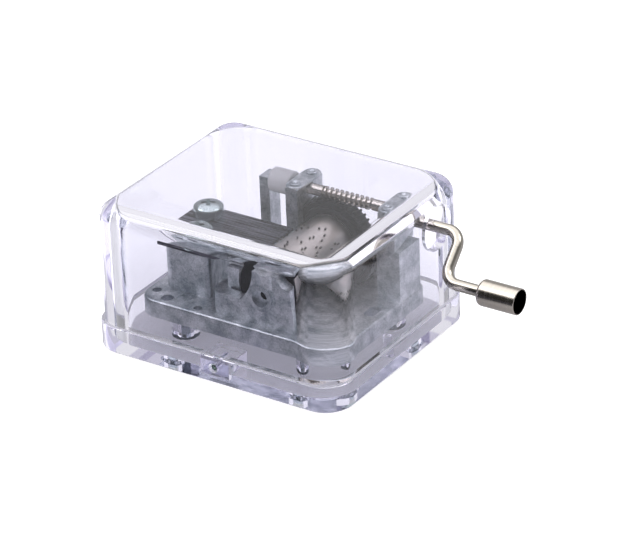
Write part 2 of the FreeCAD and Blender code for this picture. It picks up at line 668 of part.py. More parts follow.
def rod_slots():
    """Slots that the crank rod is laid into from above, one through each bearing."""
    radius = ROD_RADIUS + RUNNING_GAP
    cuts = []
    for x in (INNER_BEARING_X, OUTER_BEARING_X):
        x0 = x - CAP_WIDTH
        x1 = x + CAP_WIDTH
        cuts.append(along_x(x0, x1, radius))
        cuts.append(block(x0, x1, ROD_Y - radius, ROD_Y + radius, ROD_Z, COLUMN_TOP + OVERRUN))
    return cuts


def casting_holes():
    """Holes for the bush's stub, the rivets and the screws, and the open holes in the plate."""
    stub_end = PILLAR_RIGHT - BUSH_STUB_LENGTH - JOIN
    cuts = [along_x(stub_end, PILLAR_RIGHT + OVERRUN, BUSH_STUB / 2 + SEAT_GAP)]
    for place in rivet_places():
        z0 = COLUMN_TOP - RIVET_LENGTH - SCREW_HEAD_GAP
        cuts.append(upright(place.x, place.y, RIVET_SHANK / 2 + SEAT_GAP, z0, COLUMN_TOP + OVERRUN))
    for x, y in comb_screw_places():
        z0 = COMB_TOP - COMB_SCREW_LENGTH - HOLE_END_GAP
        cuts.append(upright(x, y, COMB_SCREW_SHANK / 2 + SCREW_GAP, z0, COMB_TOP))
    for x, y in movement_screw_places():
        z1 = PLATE_BOTTOM + MOVEMENT_SCREW_GRIP + HOLE_END_GAP
        cuts.append(upright(x, y, MOVEMENT_SCREW_SHANK / 2 + SCREW_GAP, PLATE_BOTTOM - OVERRUN, z1))
    for x, y, radius in FLANGE_HOLES:
        cuts.append(upright(PLATE_LEFT + x, PLATE_FRONT + y, radius, PLATE_BOTTOM - OVERRUN, PLATE_TOP + OVERRUN))
    x, y, radius = FLANGE_DIMPLE
    dimple_bottom = PLATE_TOP - FLANGE_DIMPLE_DEPTH
    cuts.append(upright(PLATE_LEFT + x, PLATE_FRONT + y, radius, dimple_bottom, PLATE_TOP + OVERRUN))
    bottom = PLATE_BOTTOM - OVERRUN
    x = PLATE_RIGHT - END_HOLE_INSET
    top = PLATE_TOP + OVERRUN
    cuts.append(rounded_box(END_HOLE_LENGTH, END_HOLE_WIDTH, END_HOLE_CORNER, bottom, top, x, END_HOLE_Y))
    return cuts


def bedplate():
    """The die casting that carries every other piece of the movement."""
    parts = [base_plate(), comb_block(), front_wall(), front_bracket(), comb_stop(), back_wall()]
    parts += [inner_column(), outer_pier(), bush_pillar()]
    return fused(parts).cut(rod_slots() + casting_wells() + casting_holes())


# ---- comb ----
def comb():
    """The steel comb: a thick body at the left and eighteen thin teeth."""
    outline = [(COMB_LEFT, COMB_FRONT, COMB_CORNER), (root_x(COMB_FRONT), COMB_FRONT, 0)]
    outline += [(root_x(COMB_BACK), COMB_BACK, 0), (COMB_LEFT, COMB_BACK, COMB_CORNER)]
    pieces = [prism(outline, COMB_BOTTOM, COMB_TOP)]
    for i in range(TEETH):
        y = tooth_y(i)
        root = root_x(y) - TOOTH_ROOT_LAP
        corners = [(root, COMB_TOP), (root, COMB_BOTTOM)]
        corners += [(root + TOOTH_ROOT_LENGTH, COMB_BOTTOM + TOOTH_ROOT_DROP)]
        corners += [(root + TOOTH_TAPER_LENGTH, TOOTH_BOTTOM), (TIP_X, TOOTH_BOTTOM), (TIP_X, COMB_TOP)]
        side = [V(x, y - TOOTH_HALF, z) for x, z in corners + corners[:1]]
        pieces.append(Part.Face(Part.makePolygon(side)).extrude(V(0, 2 * TOOTH_HALF, 0)))
    radius = COMB_SCREW_SHANK / 2 + COMB_SCREW_HOLE_GAP
    holes = [upright(x, y, radius, COMB_BOTTOM - OVERRUN, COMB_TOP + OVERRUN) for x, y in comb_screw_places()]
    return fused(pieces).cut(holes)


def comb_screws():
    """Two screws with wide domed heads and a cross recess."""
    radius = COMB_SCREW_HEAD / 2
    length, width, depth = COMB_SCREW_CROSS
    head_top = COMB_TOP + COMB_SCREW_HEAD_HEIGHT
    profile = [(0, 0)] + [(rise * COMB_SCREW_HEAD_HEIGHT, share * radius) for rise, share in COMB_SCREW_DOME]
    screws = []
    for x, y in comb_screw_places():
        head = turned(profile, V(x, y, COMB_TOP), Z_AXIS)
        shank = upright(x, y, COMB_SCREW_SHANK / 2, COMB_TOP - COMB_SCREW_LENGTH, COMB_TOP + JOIN)
        cross = cross_recess((length, width), x, y, head_top - depth, head_top + OVERRUN, COMB_SCREW_TURN)
        screws.append(fused([head, shank]).cut(cross))
    return Part.makeCompound(screws)


def comb_weights():
    """Lead weights under the tips of the long teeth, shorter towards the high notes."""
    weights = []
    for n in range(WEIGHTS):
        y = tooth_y(TEETH - 1 - n)
        share = 1 - WEIGHT_TAPER * n / WEIGHTS
        right = TIP_X - WEIGHT_SETBACK
        left = right - WEIGHT_LENGTH * share
        bottom = TOOTH_BOTTOM - WEIGHT_HEIGHT * share
        weights.append(block(left, right, y - TOOTH_HALF, y + TOOTH_HALF, bottom, TOOTH_BOTTOM))
    return Part.makeCompound(weights)


def comb_dampers():
    """Fine damper wires against the undersides of the other teeth."""
    wires = []
    z = TOOTH_BOTTOM - DAMPER_DIAMETER / 2
    right = TIP_X - DAMPER_SETBACK
    for n in range(TEETH - WEIGHTS):
        wires.append(along_x(right - DAMPER_LENGTH, right, DAMPER_DIAMETER / 2, tooth_y(n), z))
    return Part.makeCompound(wires)


# ---- cylinder ----
def cylinder_tube():
    """The thin metal tube that the pins stand in."""
    return ring(TUBE_FRONT, TUBE_BACK, TUBE_RADIUS, TUBE_RADIUS - TUBE_WALL)


def cylinder_pins():
    """The tune: short pins on eighteen tracks, placed by a fixed mixing rule."""
    pins = []
    mixed = TUNE_START
    for track in range(TEETH):
        middle = V(CYLINDER_X, tooth_y(track), CYLINDER_Z)
        turn = 0.0
        while True:
            mixed = (mixed * TUNE_FACTOR + TUNE_STEP) % TUNE_CYCLE
            turn += PIN_ANGLE_LEAST + mixed % PIN_ANGLE_SPREAD
            if turn >= PIN_ANGLE_END:
                break
            direction = V(math.cos(math.radians(turn)), 0, math.sin(math.radians(turn)))
            start = middle + direction * (TUBE_RADIUS - PIN_DEPTH)
            pins.append(cylinder(PIN_DIAMETER / 2, start, middle + direction * PIN_CIRCLE))
    return Part.makeCompound(pins)


def cylinder_resin():
    """The resin lining that holds the pins' inner ends."""
    return ring(TUBE_FRONT, TUBE_BACK, LINING_RADIUS, LINING_RADIUS - RESIN_THICKNESS)


def cylinder_end_cap():
    """Black plastic cap on the cylinder's front end."""
    face = TUBE_FRONT - END_CAP_THICKNESS
    hub_end = FRONT_WALL_BACK + PART_GAP / 2
    parts = [along_y(face, TUBE_FRONT, END_CAP_RADIUS)]
    parts.append(along_y(TUBE_FRONT - JOIN, TUBE_FRONT + SPIGOT_LENGTH, SPIGOT_RADIUS))
    parts.append(along_y(hub_end, face + JOIN, ARBOR_DIAMETER))
    bore = ARBOR_DIAMETER / 2 + SEAT_GAP
    return fused(parts).cut(along_y(hub_end - OVERRUN, TUBE_FRONT + SPIGOT_LENGTH + OVERRUN, bore))


def wheel_outline(y, turn):
    """The toothed outline in the plane y, turned by some degrees about the axis."""
    root = WHEEL_TIP_RADIUS - THREAD_DEPTH
    tip_angle = THREAD_TIP / 2 / WHEEL_TIP_RADIUS
    root_angle = THREAD_ROOT / 2 / root
    steps = ((root, -root_angle), (WHEEL_TIP_RADIUS, -tip_angle), (WHEEL_TIP_RADIUS, tip_angle), (root, root_angle))
    points = []
    for i in range(WHEEL_TEETH):
        middle = math.radians(90 - turn) + (i + 0.5) * 2 * math.pi / WHEEL_TEETH
        for radius, offset in steps:
            angle = middle + offset
            points.append(V(CYLINDER_X + radius * math.cos(angle), y, CYLINDER_Z + radius * math.sin(angle)))
    return Part.makePolygon(points + points[:1])


def worm_wheel():
    """Moulded wheel with teeth slanted to follow the worm, and a stepped hub at the front."""
    slant = WORM_PITCH / (2 * math.pi * (WORM_RADIUS - MESH_DEPTH / 2))
    per_mm = math.degrees(slant / (WHEEL_TIP_RADIUS - MESH_DEPTH / 2))
    half_twist = per_mm * WHEEL_THICKNESS / 2
    outlines = [wheel_outline(WHEEL_FRONT, -half_twist), wheel_outline(WHEEL_BACK, half_twist)]
    parts = [Part.makeLoft(outlines, True, True)]
    parts.append(along_y(WHEEL_FRONT, WHEEL_FRONT + WHEEL_FLANGE, WHEEL_TIP_RADIUS - WHEEL_FLANGE_BELOW_TIP))
    parts.append(along_y(TUBE_BACK, WHEEL_FRONT + JOIN, WHEEL_HUB_RADIUS))
    parts.append(along_y(TUBE_BACK - SPIGOT_LENGTH, TUBE_BACK + JOIN, SPIGOT_RADIUS))
    parts.append(along_y(WHEEL_BACK - JOIN, BACK_WALL_FRONT - PART_GAP / 2, ARBOR_DIAMETER))
    bore = along_y(TUBE_BACK - SPIGOT_LENGTH - OVERRUN, BACK_WALL_FRONT, ARBOR_DIAMETER / 2 + SEAT_GAP)
    recess_inner = TUBE_RADIUS + WHEEL_RECESS_STEP
    recess = ring(TUBE_BACK - OVERRUN, TUBE_BACK + WHEEL_RECESS, WHEEL_HUB_RADIUS - WHEEL_HUB_RIM, recess_inner)
    return fused(parts).cut([bore, recess])


def cylinder_arbor():
    """The steel pin through the cylinder, from the front bracket to the back wall."""
    front = BOSS_FACE + BOSS_BORE_DEPTH - PART_GAP
    return along_y(front, BACK_WALL_FRONT + ARBOR_END_GRIP, ARBOR_DIAMETER / 2)


# ---- crank ----
def worm_thread(x0):
    """A right-handed ridge that starts at the rod's underside at x0."""
    core = WORM_RADIUS - THREAD_DEPTH
    inside = core - THREAD_SINK
    root = THREAD_ROOT / 2
    tip = THREAD_TIP / 2
    corners = [(inside, -root), (core, -root), (WORM_RADIUS, -tip), (WORM_RADIUS, tip), (core, root), (inside, root)]
    profile = Part.makePolygon([V(radius, 0, along) for radius, along in corners + corners[:1]])
    helix = Part.Wire(Part.makeHelix(WORM_PITCH, WORM_PITCH * WORM_TURNS, core))
    ridge = helix.makePipeShell([profile], True, True)
    ridge.Placement = FreeCAD.Placement(V(x0, ROD_Y, ROD_Z), FreeCAD.Rotation(Y_AXIS, 90))
    return ridge


def crank_path():
    """Centre line of the bent part: out along X, down the arm, and out along X again."""
    rod_end = HANDLE_START + HANDLE_SHOULDER + PART_GAP / 2 + RETAINER_THICKNESS + ROD_STUB
    points = [V(BEND_X - CRANK_STRAIGHT, ROD_Y, ROD_Z), V(BEND_X, ROD_Y, ROD_Z)]
    points += [V(BEND_X, HANDLE_Y, HANDLE_Z), V(rod_end, HANDLE_Y, HANDLE_Z)]
    edges = []
    last = points[0]
    for before, here, after in zip(points, points[1:], points[2:]):
        back = (before - here).normalize()
        ahead = (after - here).normalize()
        half = back.getAngle(ahead) / 2
        cut = BEND_RADIUS / math.tan(half)
        middle = here + (back + ahead).normalize() * (BEND_RADIUS / math.sin(half) - BEND_RADIUS)
        start = here + back * cut
        end = here + ahead * cut
        edges.append(Part.LineSegment(last, start).toShape())
        edges.append(Part.Arc(start, middle, end).toShape())
        last = end
    edges.append(Part.LineSegment(last, points[-1]).toShape())
    return Part.Wire(edges), points[0]


def crank_shaft():
    """One bent rod with the worm cut into it between the two bearings."""
    path, start = crank_path()
    circle = Part.Wire(Part.makeCircle(ROD_RADIUS, start, X_AXIS))
    bent = path.makePipeShell([circle], True, False)
    worm_start = CYLINDER_X - WORM_LEAD_TURNS * WORM_PITCH
    worm_end = worm_start + WORM_PITCH * WORM_TURNS
    rod_end = PILLAR_RIGHT + BUSH_END_WALL + PART_GAP / 2
    core = WORM_RADIUS - THREAD_DEPTH
    profile = [(rod_end, 0), (rod_end, ROD_RADIUS), (worm_start, ROD_RADIUS), (worm_start, core)]
    profile += [(worm_end, core), (worm_end, ROD_RADIUS), (start.x, ROD_RADIUS), (start.x, 0)]
    straight = turned(profile, V(0, ROD_Y, ROD_Z), X_AXIS)
    return straight.fuse(worm_thread(worm_start)).fuse(bent)


def handle_sleeve():
    """Drawn metal sleeve that spins on the rod's end; its far end is open."""
    outer = HANDLE_DIAMETER / 2
    inner = outer - HANDLE_WALL
    hole = ROD_RADIUS + 2 * RUNNING_GAP
    neck = HANDLE_NECK / 2
    profile = [(0, hole), (0, neck), (HANDLE_NECK_LENGTH, neck)]
    profile += [(HANDLE_NECK_LENGTH + along, outer - inset) for along, inset in HANDLE_ROUNDING]
    profile += [(HANDLE_LENGTH - HANDLE_LIP, outer), (HANDLE_LENGTH, outer - HANDLE_LIP), (HANDLE_LENGTH, inner)]
    profile += [(HANDLE_SHOULDER, inner), (HANDLE_SHOULDER, hole)]
    return turned(profile, V(HANDLE_START, HANDLE_Y, HANDLE_Z), X_AXIS)


def handle_retainer():
    """Push-on washer inside the sleeve that keeps it on the rod."""
    x0 = HANDLE_START + HANDLE_SHOULDER + PART_GAP / 2
    x1 = x0 + RETAINER_THICKNESS
    washer = along_x(x0, x1, RETAINER_DIAMETER / 2, HANDLE_Y, HANDLE_Z)
    return washer.cut(along_x(x0 - OVERRUN, x1 + OVERRUN, ROD_RADIUS + SEAT_GAP, HANDLE_Y, HANDLE_Z))


# ---- bearings ----
def bearing_cap(x):
    """A stamped plate with round ends over the rod's slot."""
    half = CAP_WIDTH / 2
    middle = block(x - half, x + half, ROD_Y - RIVET_SPACING / 2, ROD_Y + RIVET_SPACING / 2,
                   COLUMN_TOP, COLUMN_TOP + CAP_THICKNESS)
    ends = []
    holes = []
    for place in rivet_places():
        if place.x != x:
            continue
        ends.append(upright(x, place.y, half, COLUMN_TOP, COLUMN_TOP + CAP_THICKNESS))
        hole = RIVET_SHANK / 2 + SEAT_GAP
        holes.append(upright(x, place.y, hole, COLUMN_TOP - OVERRUN, COLUMN_TOP + CAP_THICKNESS + OVERRUN))
    return fused([middle] + ends).cut(holes)


def bearing_cap_inner():
    """The cap over the inner bearing."""
    return bearing_cap(INNER_BEARING_X)


def bearing_cap_outer():
    """The cap over the outer bearing."""
    return bearing_cap(OUTER_BEARING_X)


def bearing_cap_rivets():
    """Four staked rivets with dimpled heads."""
    rivets = []
    outer = RIVET_HEAD / 2
    height = RIVET_HEAD_HEIGHT
    for place in rivet_places():
        seat = place + V(0, 0, CAP_THICKNESS)
        profile = [(0, 0), (0, outer), (height / 2, outer), (height, RIVET_HEAD_TOP / 2), (height, RIVET_DIMPLE / 2)]
        profile += [(RIVET_DIMPLE_SKIN, RIVET_DIMPLE_FLOOR / 2), (RIVET_DIMPLE_SKIN, 0)]
        shank = upright(place.x, place.y, RIVET_SHANK / 2, COLUMN_TOP - RIVET_LENGTH, seat.z)
        rivets.append(fused([turned(profile, seat, Z_AXIS), shank]))
    return Part.makeCompound(rivets)


def thrust_bush():
    """Translucent nylon bush that takes the rod's left end, with a stub in the pillar."""
    body = along_x(PILLAR_RIGHT, BUSH_RIGHT, BUSH_DIAMETER / 2)
    stub = along_x(PILLAR_RIGHT - BUSH_STUB_LENGTH, PILLAR_RIGHT + JOIN, BUSH_STUB / 2)
    bore = along_x(PILLAR_RIGHT + BUSH_END_WALL, BUSH_RIGHT + OVERRUN, ROD_RADIUS + RUNNING_GAP)
    return fused([body, stub]).cut(bore)


PIECES = (
    case_base, case_cover, case_screws, movement_screws,
    bedplate, comb, comb_screws, comb_weights, comb_dampers,
    cylinder_tube, cylinder_pins, cylinder_resin, cylinder_end_cap, worm_wheel, cylinder_arbor,
    crank_shaft, handle_sleeve, handle_retainer,
    bearing_cap_inner, bearing_cap_outer, bearing_cap_rivets, thrust_bush,
)

os.makedirs("parts", exist_ok=True)
for piece in PIECES:
    shape = piece()
    print(f"{piece.__name__}: {len(shape.Solids)} solids, {shape.Volume:.2f} mm3, valid {shape.isValid()}")
    shape.exportStep(f"parts/{piece.__name__}.step")
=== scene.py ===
"""Hand-crank music box in a clear case: each piece's finish, in the order it is put together."""

import json
import math

import bmesh
import bpy
from mathutils import Matrix, Vector


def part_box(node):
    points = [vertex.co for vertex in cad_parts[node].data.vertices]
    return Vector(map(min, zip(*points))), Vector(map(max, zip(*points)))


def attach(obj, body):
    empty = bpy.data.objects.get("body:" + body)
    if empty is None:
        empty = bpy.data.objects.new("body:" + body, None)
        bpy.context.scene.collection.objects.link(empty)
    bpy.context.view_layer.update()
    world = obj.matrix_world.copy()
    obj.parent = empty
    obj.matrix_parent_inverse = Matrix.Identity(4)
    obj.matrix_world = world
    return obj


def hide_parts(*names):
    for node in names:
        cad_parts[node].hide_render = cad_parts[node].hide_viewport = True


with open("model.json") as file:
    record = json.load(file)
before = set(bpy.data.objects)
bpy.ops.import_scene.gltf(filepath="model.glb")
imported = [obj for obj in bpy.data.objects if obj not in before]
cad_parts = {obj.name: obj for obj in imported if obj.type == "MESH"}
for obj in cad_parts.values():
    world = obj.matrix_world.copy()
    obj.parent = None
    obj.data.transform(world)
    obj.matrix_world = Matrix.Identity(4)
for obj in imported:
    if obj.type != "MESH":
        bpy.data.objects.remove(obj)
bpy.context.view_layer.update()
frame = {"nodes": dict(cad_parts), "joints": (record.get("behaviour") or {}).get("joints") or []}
nodes = frame["nodes"]
MM = 0.001


# ---- studio ----
# A white table top in a pale room. Polished metal and the case's gloss see them greyer, with a dark
# stretch at the front and at the horizon, which gives bright metal its dark streaks; on the table
# top this is a painted reflection, painted dark in front of the object. The table top also glows,
# evenly to the eye, and as painted light through the plastic and in the case's edges. Two soft
# boxes light the object from the upper left and from the back right.
FLOOR_WHITE = "#FFFFFF"
FLOOR_GREY = "#B0B0B4"
FLOOR_PAINTED_DARK = "#3C3C42"
FLOOR_HALF_WIDTH = 3.0
PAINTED_DARK_UNTIL_X = (0.016, 0.036)
PAINTED_DARK_UNTIL_Y = (-0.032, -0.022)
AIR_GAP = 0.05
# The table top's glow: even to the eye; painted light through the plastic and in the case's edges.
GLOW_TO_THE_EYE = 0.35
GLOW_THROUGH_PLASTIC = 0.34
GLOW_IN_THE_EDGES = 0.7
ONCE_OR_MORE = 0.5
THREE_TIMES_OR_MORE = 2.5
ROOM_WHITE = "#FFFFFF"
ROOM_LEVEL = 1.0
HORIZON_FRONT_TO_BACK = (-0.8, 0.6)
HORIZON_LEVELS = (0.03, 0.5)
CEILING_FROM_TO = (0.52, 0.88)
CEILING_LEVEL = 2.0
SOFT_BOXES = (("soft_box_left", (-0.45, -0.30, 0.60), 0.45, 1.2),
              ("soft_box_right", (0.45, 0.25, 0.55), 0.35, 0.8))
LENS_MM = 201.7
SENSOR_MM = 36.0
VIEW_AZIMUTH = 34.46
VIEW_ELEVATION = 27.87
VIEW_ROLL = -2.35
VIEW_DISTANCE = 0.751
AIM = Vector((4.07, 7.12, 10.99)) * MM


def linear(colour):
    """An sRGB hex colour as the linear values that a shader takes."""
    parts = [int(colour[i:i + 2], 16) / 255 for i in (1, 3, 5)]
    return [p / 12.92 if p <= 0.04045 else ((p + 0.055) / 1.055) ** 2.4 for p in parts] + [1.0]


def add_node(tree, kind, inputs=None, **settings):
    """Add a node with its settings; an input is a value or the output of another node."""
    node = tree.nodes.new(kind)
    for name, value in settings.items():
        setattr(node, name, value)
    for socket, value in (inputs or {}).items():
        if isinstance(value, bpy.types.NodeSocket):
            tree.links.new(value, node.inputs[socket])
        else:
            node.inputs[socket].default_value = value
    return node


def new_material(name):
    """An empty node material, its tree and its Principled shader."""
    material = bpy.data.materials.new(name)
    material.use_nodes = True
    tree = material.node_tree
    return material, tree, tree.nodes["Principled BSDF"]


def mirrored_share(tree):
    """The light path, whether light has turned three times in the plastic, and the mirrored share.

    The share is 1 for what polished metal and the case's gloss reflect, and 0 for what is seen
    directly, through the plastic, or after three turns inside it.
    """
    rays = add_node(tree, "ShaderNodeLightPath")
    once = add_node(tree, "ShaderNodeMath", {
        0: rays.outputs["Glossy Depth"], 1: ONCE_OR_MORE}, operation="GREATER_THAN")
    turned = add_node(tree, "ShaderNodeMath", {
        0: rays.outputs["Glossy Depth"], 1: THREE_TIMES_OR_MORE}, operation="GREATER_THAN")
    share = add_node(tree, "ShaderNodeMath", {
        0: once.outputs["Value"], 1: turned.outputs["Value"]}, operation="SUBTRACT")
    return rays, turned.outputs["Value"], share.outputs["Value"]


def table_top_with_painted_light():
    """Matt white laminate: white to the eye, and through the plastic with a painted glow; in
    polished metal a painted reflection, grey, and painted dark in front of the object.
    """
    material, tree, shader = new_material("white_table_top_with_painted_light")
    rays, turned, mirrored = mirrored_share(tree)
    place = add_node(tree, "ShaderNodeTexCoord").outputs["Object"]
    across = add_node(tree, "ShaderNodeSeparateXYZ", {"Vector": place})
    right_side = add_node(tree, "ShaderNodeMapRange", {
        "Value": across.outputs["X"], "From Min": PAINTED_DARK_UNTIL_X[0], "From Max": PAINTED_DARK_UNTIL_X[1]})
    back_side = add_node(tree, "ShaderNodeMapRange", {
        "Value": across.outputs["Y"], "From Min": PAINTED_DARK_UNTIL_Y[0], "From Max": PAINTED_DARK_UNTIL_Y[1]})
    pale = add_node(tree, "ShaderNodeMath", {
        0: right_side.outputs["Result"], 1: back_side.outputs["Result"]}, operation="MAXIMUM")
    # Painted reflection: for polished metal and gloss the table top is painted dark in front of the
    # object and grey elsewhere.
    painted_reflection = add_node(tree, "ShaderNodeMix", {
        "Factor": pale.outputs["Value"],
        6: linear(FLOOR_PAINTED_DARK), 7: linear(FLOOR_GREY)}, data_type="RGBA")
    colour = add_node(tree, "ShaderNodeMix", {
        "Factor": mirrored, 6: linear(FLOOR_WHITE), 7: painted_reflection.outputs[2]}, data_type="RGBA")
    # Painted light: seen through the plastic, and after three turns inside it, the table top glows,
    # lifting the case's shadow and lighting the case's edges.
    glow = 0.0
    for seen, strength in (
            (rays.outputs["Is Camera Ray"], GLOW_TO_THE_EYE),
            (rays.outputs["Is Transmission Ray"], GLOW_THROUGH_PLASTIC),
            (turned, GLOW_IN_THE_EDGES)):
        part = add_node(tree, "ShaderNodeMath", {0: seen, 1: strength}, operation="MULTIPLY")
        glow = add_node(tree, "ShaderNodeMath", {
            0: glow, 1: part.outputs["Value"]}, operation="MAXIMUM").outputs["Value"]
    tree.links.new(colour.outputs[2], shader.inputs["Base Color"])
    tree.links.new(glow, shader.inputs["Emission Strength"])
    shader.inputs["Emission Color"].default_value = linear(FLOOR_WHITE)
    shader.inputs["Roughness"].default_value = 0.9
    shader.inputs["Specular IOR Level"].default_value = 0.0
    return material


floor_mesh = bpy.data.meshes.new("table_top")
floor_bm = bmesh.new()
bmesh.ops.create_grid(floor_bm, x_segments=1, y_segments=1, size=FLOOR_HALF_WIDTH)
bmesh.ops.translate(floor_bm, verts=floor_bm.verts, vec=(0, 0, -AIR_GAP * MM))
floor_bm.to_mesh(floor_mesh)
floor_bm.free()
table_top = bpy.data.objects.new("table_top", floor_mesh)
bpy.context.scene.collection.objects.link(table_top)
table_top.data.materials.append(table_top_with_painted_light())

room = bpy.data.worlds.new("pale_room")
bpy.context.scene.world = room
room.use_nodes = True
tree = room.node_tree
direction = add_node(tree, "ShaderNodeTexCoord").outputs["Generated"]
axes = add_node(tree, "ShaderNodeSeparateXYZ", {"Vector": direction})
horizon = add_node(tree, "ShaderNodeMapRange", {
    "Value": axes.outputs["Y"],
    "From Min": HORIZON_FRONT_TO_BACK[0], "From Max": HORIZON_FRONT_TO_BACK[1],
    "To Min": HORIZON_LEVELS[0], "To Max": HORIZON_LEVELS[1]})
mirrored_room = add_node(tree, "ShaderNodeMapRange", {
    "Value": axes.outputs["Z"], "From Min": CEILING_FROM_TO[0], "From Max": CEILING_FROM_TO[1],
    "To Min": horizon.outputs["Result"], "To Max": CEILING_LEVEL}, interpolation_type="SMOOTHSTEP")
level = add_node(tree, "ShaderNodeMix", {
    "Factor": mirrored_share(tree)[2],
    "A": ROOM_LEVEL, "B": mirrored_room.outputs["Result"]}, data_type="FLOAT")
background = tree.nodes["Background"]
background.inputs["Color"].default_value = linear(ROOM_WHITE)
tree.links.new(level.outputs["Result"], background.inputs["Strength"])

for name, place, size, power in SOFT_BOXES:
    lamp = bpy.data.lights.new(name, "AREA")
    lamp.size = size
    lamp.energy = power
    box = bpy.data.objects.new(name, lamp)
    facing = (Vector(place) - AIM).to_track_quat("Z", "Y").to_matrix().to_4x4()
    box.matrix_world = Matrix.Translation(place) @ facing
    bpy.context.scene.collection.objects.link(box)

azimuth, elevation, roll = (math.radians(v) for v in (VIEW_AZIMUTH, VIEW_ELEVATION, VIEW_ROLL))
out = Vector((math.sin(azimuth), -math.cos(azimuth), 0))
back = out * math.cos(elevation) + Vector((0, 0, math.sin(elevation)))
level_right = Vector((math.cos(azimuth), math.sin(azimuth), 0))
level_up = back.cross(level_right)
right = math.cos(roll) * level_right + math.sin(roll) * level_up
up = math.cos(roll) * level_up - math.sin(roll) * level_right
camera = bpy.data.objects.new("camera", bpy.data.cameras.new("camera"))
turned_to = Matrix((right, up, back)).transposed().to_4x4()
camera.matrix_world = Matrix.Translation(AIM + back * VIEW_DISTANCE) @ turned_to
camera.data.sensor_width = SENSOR_MM
camera.data.lens = LENS_MM
camera.data.clip_start = 0.01
bpy.context.scene.collection.objects.link(camera)
bpy.context.scene.camera = camera
bpy.context.scene.view_settings.view_transform = "Standard"


# ---- clear tray ----
# The lower half of the case: one injection moulding in clear polystyrene, with four hollow posts
# for the movement's screws, a locating peg, and a block behind each side screw's slot.
WALL = 2.0
RIM = 6.0
LEDGE = 0.85
OUTER_CORNER = 5.4
INNER_CORNER = 8.0
TRAY_FLOOR = 2.0
POST = 6.0
POST_TOP = 5.9
SCREW_HOLE = 2.1
SCREW_RECESS = (4.4, 1.5)
PEG = (26.6, -1.7, 1.8, 6.6)
SLOT = (7.2, 23.6, 25.35, 1.1)
SLOT_BLOCK = (7.0, 18.1, 23.6, 5.0)
SIDE_SCREW_MM = (0.6, 3.3)
SIDE_SCREW_HOLES = (2.2, 1.2)
SIDE_SCREW_END = 20.2
SOFT_EDGE = 0.3


def clear_polystyrene():
    """Injection-moulded clear polystyrene: high gloss, the faint violet of its optical brightener.

    Light caught between the faces of a wall's edge leaves it after three turns, as it does where a
    real moulding's edge glows, and meets the room and the table top's painted glow, so that the
    edges are grey-violet and not black: partly piped light, partly painted light.
    """
    material, tree, shader = new_material("clear_polystyrene")
    shader.inputs["Base Color"].default_value = linear("#EFEEF6")
    shader.inputs["IOR"].default_value = 1.55
    shader.inputs["Transmission Weight"].default_value = 1.0
    shader.inputs["Roughness"].default_value = 0.0
    # Painted light: after three turns the wall lets the ray out, to meet the table top's painted
    # glow.
    turns = add_node(tree, "ShaderNodeLightPath").outputs["Glossy Depth"]
    caught = add_node(tree, "ShaderNodeMath", {
        0: turns, 1: THREE_TIMES_OR_MORE}, operation="GREATER_THAN")
    leaving = add_node(tree, "ShaderNodeBsdfTransparent", {"Color": linear("#EDECF2")})
    wall = add_node(tree, "ShaderNodeMixShader", {
        0: caught.outputs["Value"], 1: shader.outputs["BSDF"], 2: leaving.outputs["BSDF"]})
    tree.links.new(wall.outputs["Shader"], tree.nodes["Material Output"].inputs["Surface"])
    return material


def solid_boxes(node):
    """Lowest and highest corner of each separate solid of a CAD node, from left to right."""
    bm = bmesh.new()
    bm.from_mesh(nodes[node].data)
    bmesh.ops.remove_doubles(bm, verts=bm.verts, dist=1e-7)
    waiting = set(bm.verts)
    boxes = []
    while waiting:
        low = Vector((1e9,) * 3)
        high = Vector((-1e9,) * 3)
        reached = [waiting.pop()]
        while reached:
            vert = reached.pop()
            low = Vector(map(min, low, vert.co))
            high = Vector(map(max, high, vert.co))
            for edge in vert.link_edges:
                other = edge.other_vert(vert)
                if other in waiting:
                    waiting.remove(other)
                    reached.append(other)
        boxes.append((low, high))
    bm.free()
    return sorted(boxes, key=lambda pair: tuple(pair[0]))


def middle(pair):
    """The middle of a (lowest corner, highest corner) pair."""
    return (pair[0] + pair[1]) / 2


def box_bm(low, high):
    """A block between two corners, in metres."""
    bm = bmesh.new()
    bmesh.ops.create_cube(bm, size=1.0)
    bmesh.ops.scale(bm, verts=bm.verts, vec=Vector(high) - Vector(low))
    bmesh.ops.translate(bm, verts=bm.verts, vec=(Vector(low) + Vector(high)) / 2)
    return bm


def bar_bm(start, end, radius, segments=64):
    """A round bar between two points, in metres."""
    start, end = Vector(start), Vector(end)
    axis = end - start
    bm = bmesh.new()
    bmesh.ops.create_cone(bm, cap_ends=True, segments=segments,
                          radius1=radius, radius2=radius, depth=axis.length)
    turn = axis.to_track_quat("Z", "Y").to_matrix().to_4x4()
    bmesh.ops.transform(bm, matrix=Matrix.Translation((start + end) / 2) @ turn, verts=bm.verts)
    return bm


def bevel_level(bm, z, width, segments):
    """Round the loop of edges that lies at height z."""
    loop = [e for e in bm.edges
            if all(abs(v.co.z - z) < 1e-7 for v in e.verts) and e.calc_face_angle() > 1.0]
    bmesh.ops.bevel(bm, geom=loop, offset=width, segments=segments, profile=0.5,
                    affect="EDGES", material=-1)


def rounded_block_bm(low, high, corner):
    """A block whose four upright edges are rounded."""
    bm = box_bm(low, high)
    upright = [e for e in bm.edges if abs(e.verts[0].co.z - e.verts[1].co.z) > 1e-6]
    bmesh.ops.bevel(bm, geom=upright, offset=corner, segments=16, profile=0.5,
                    affect="EDGES", material=-1)
    return bm


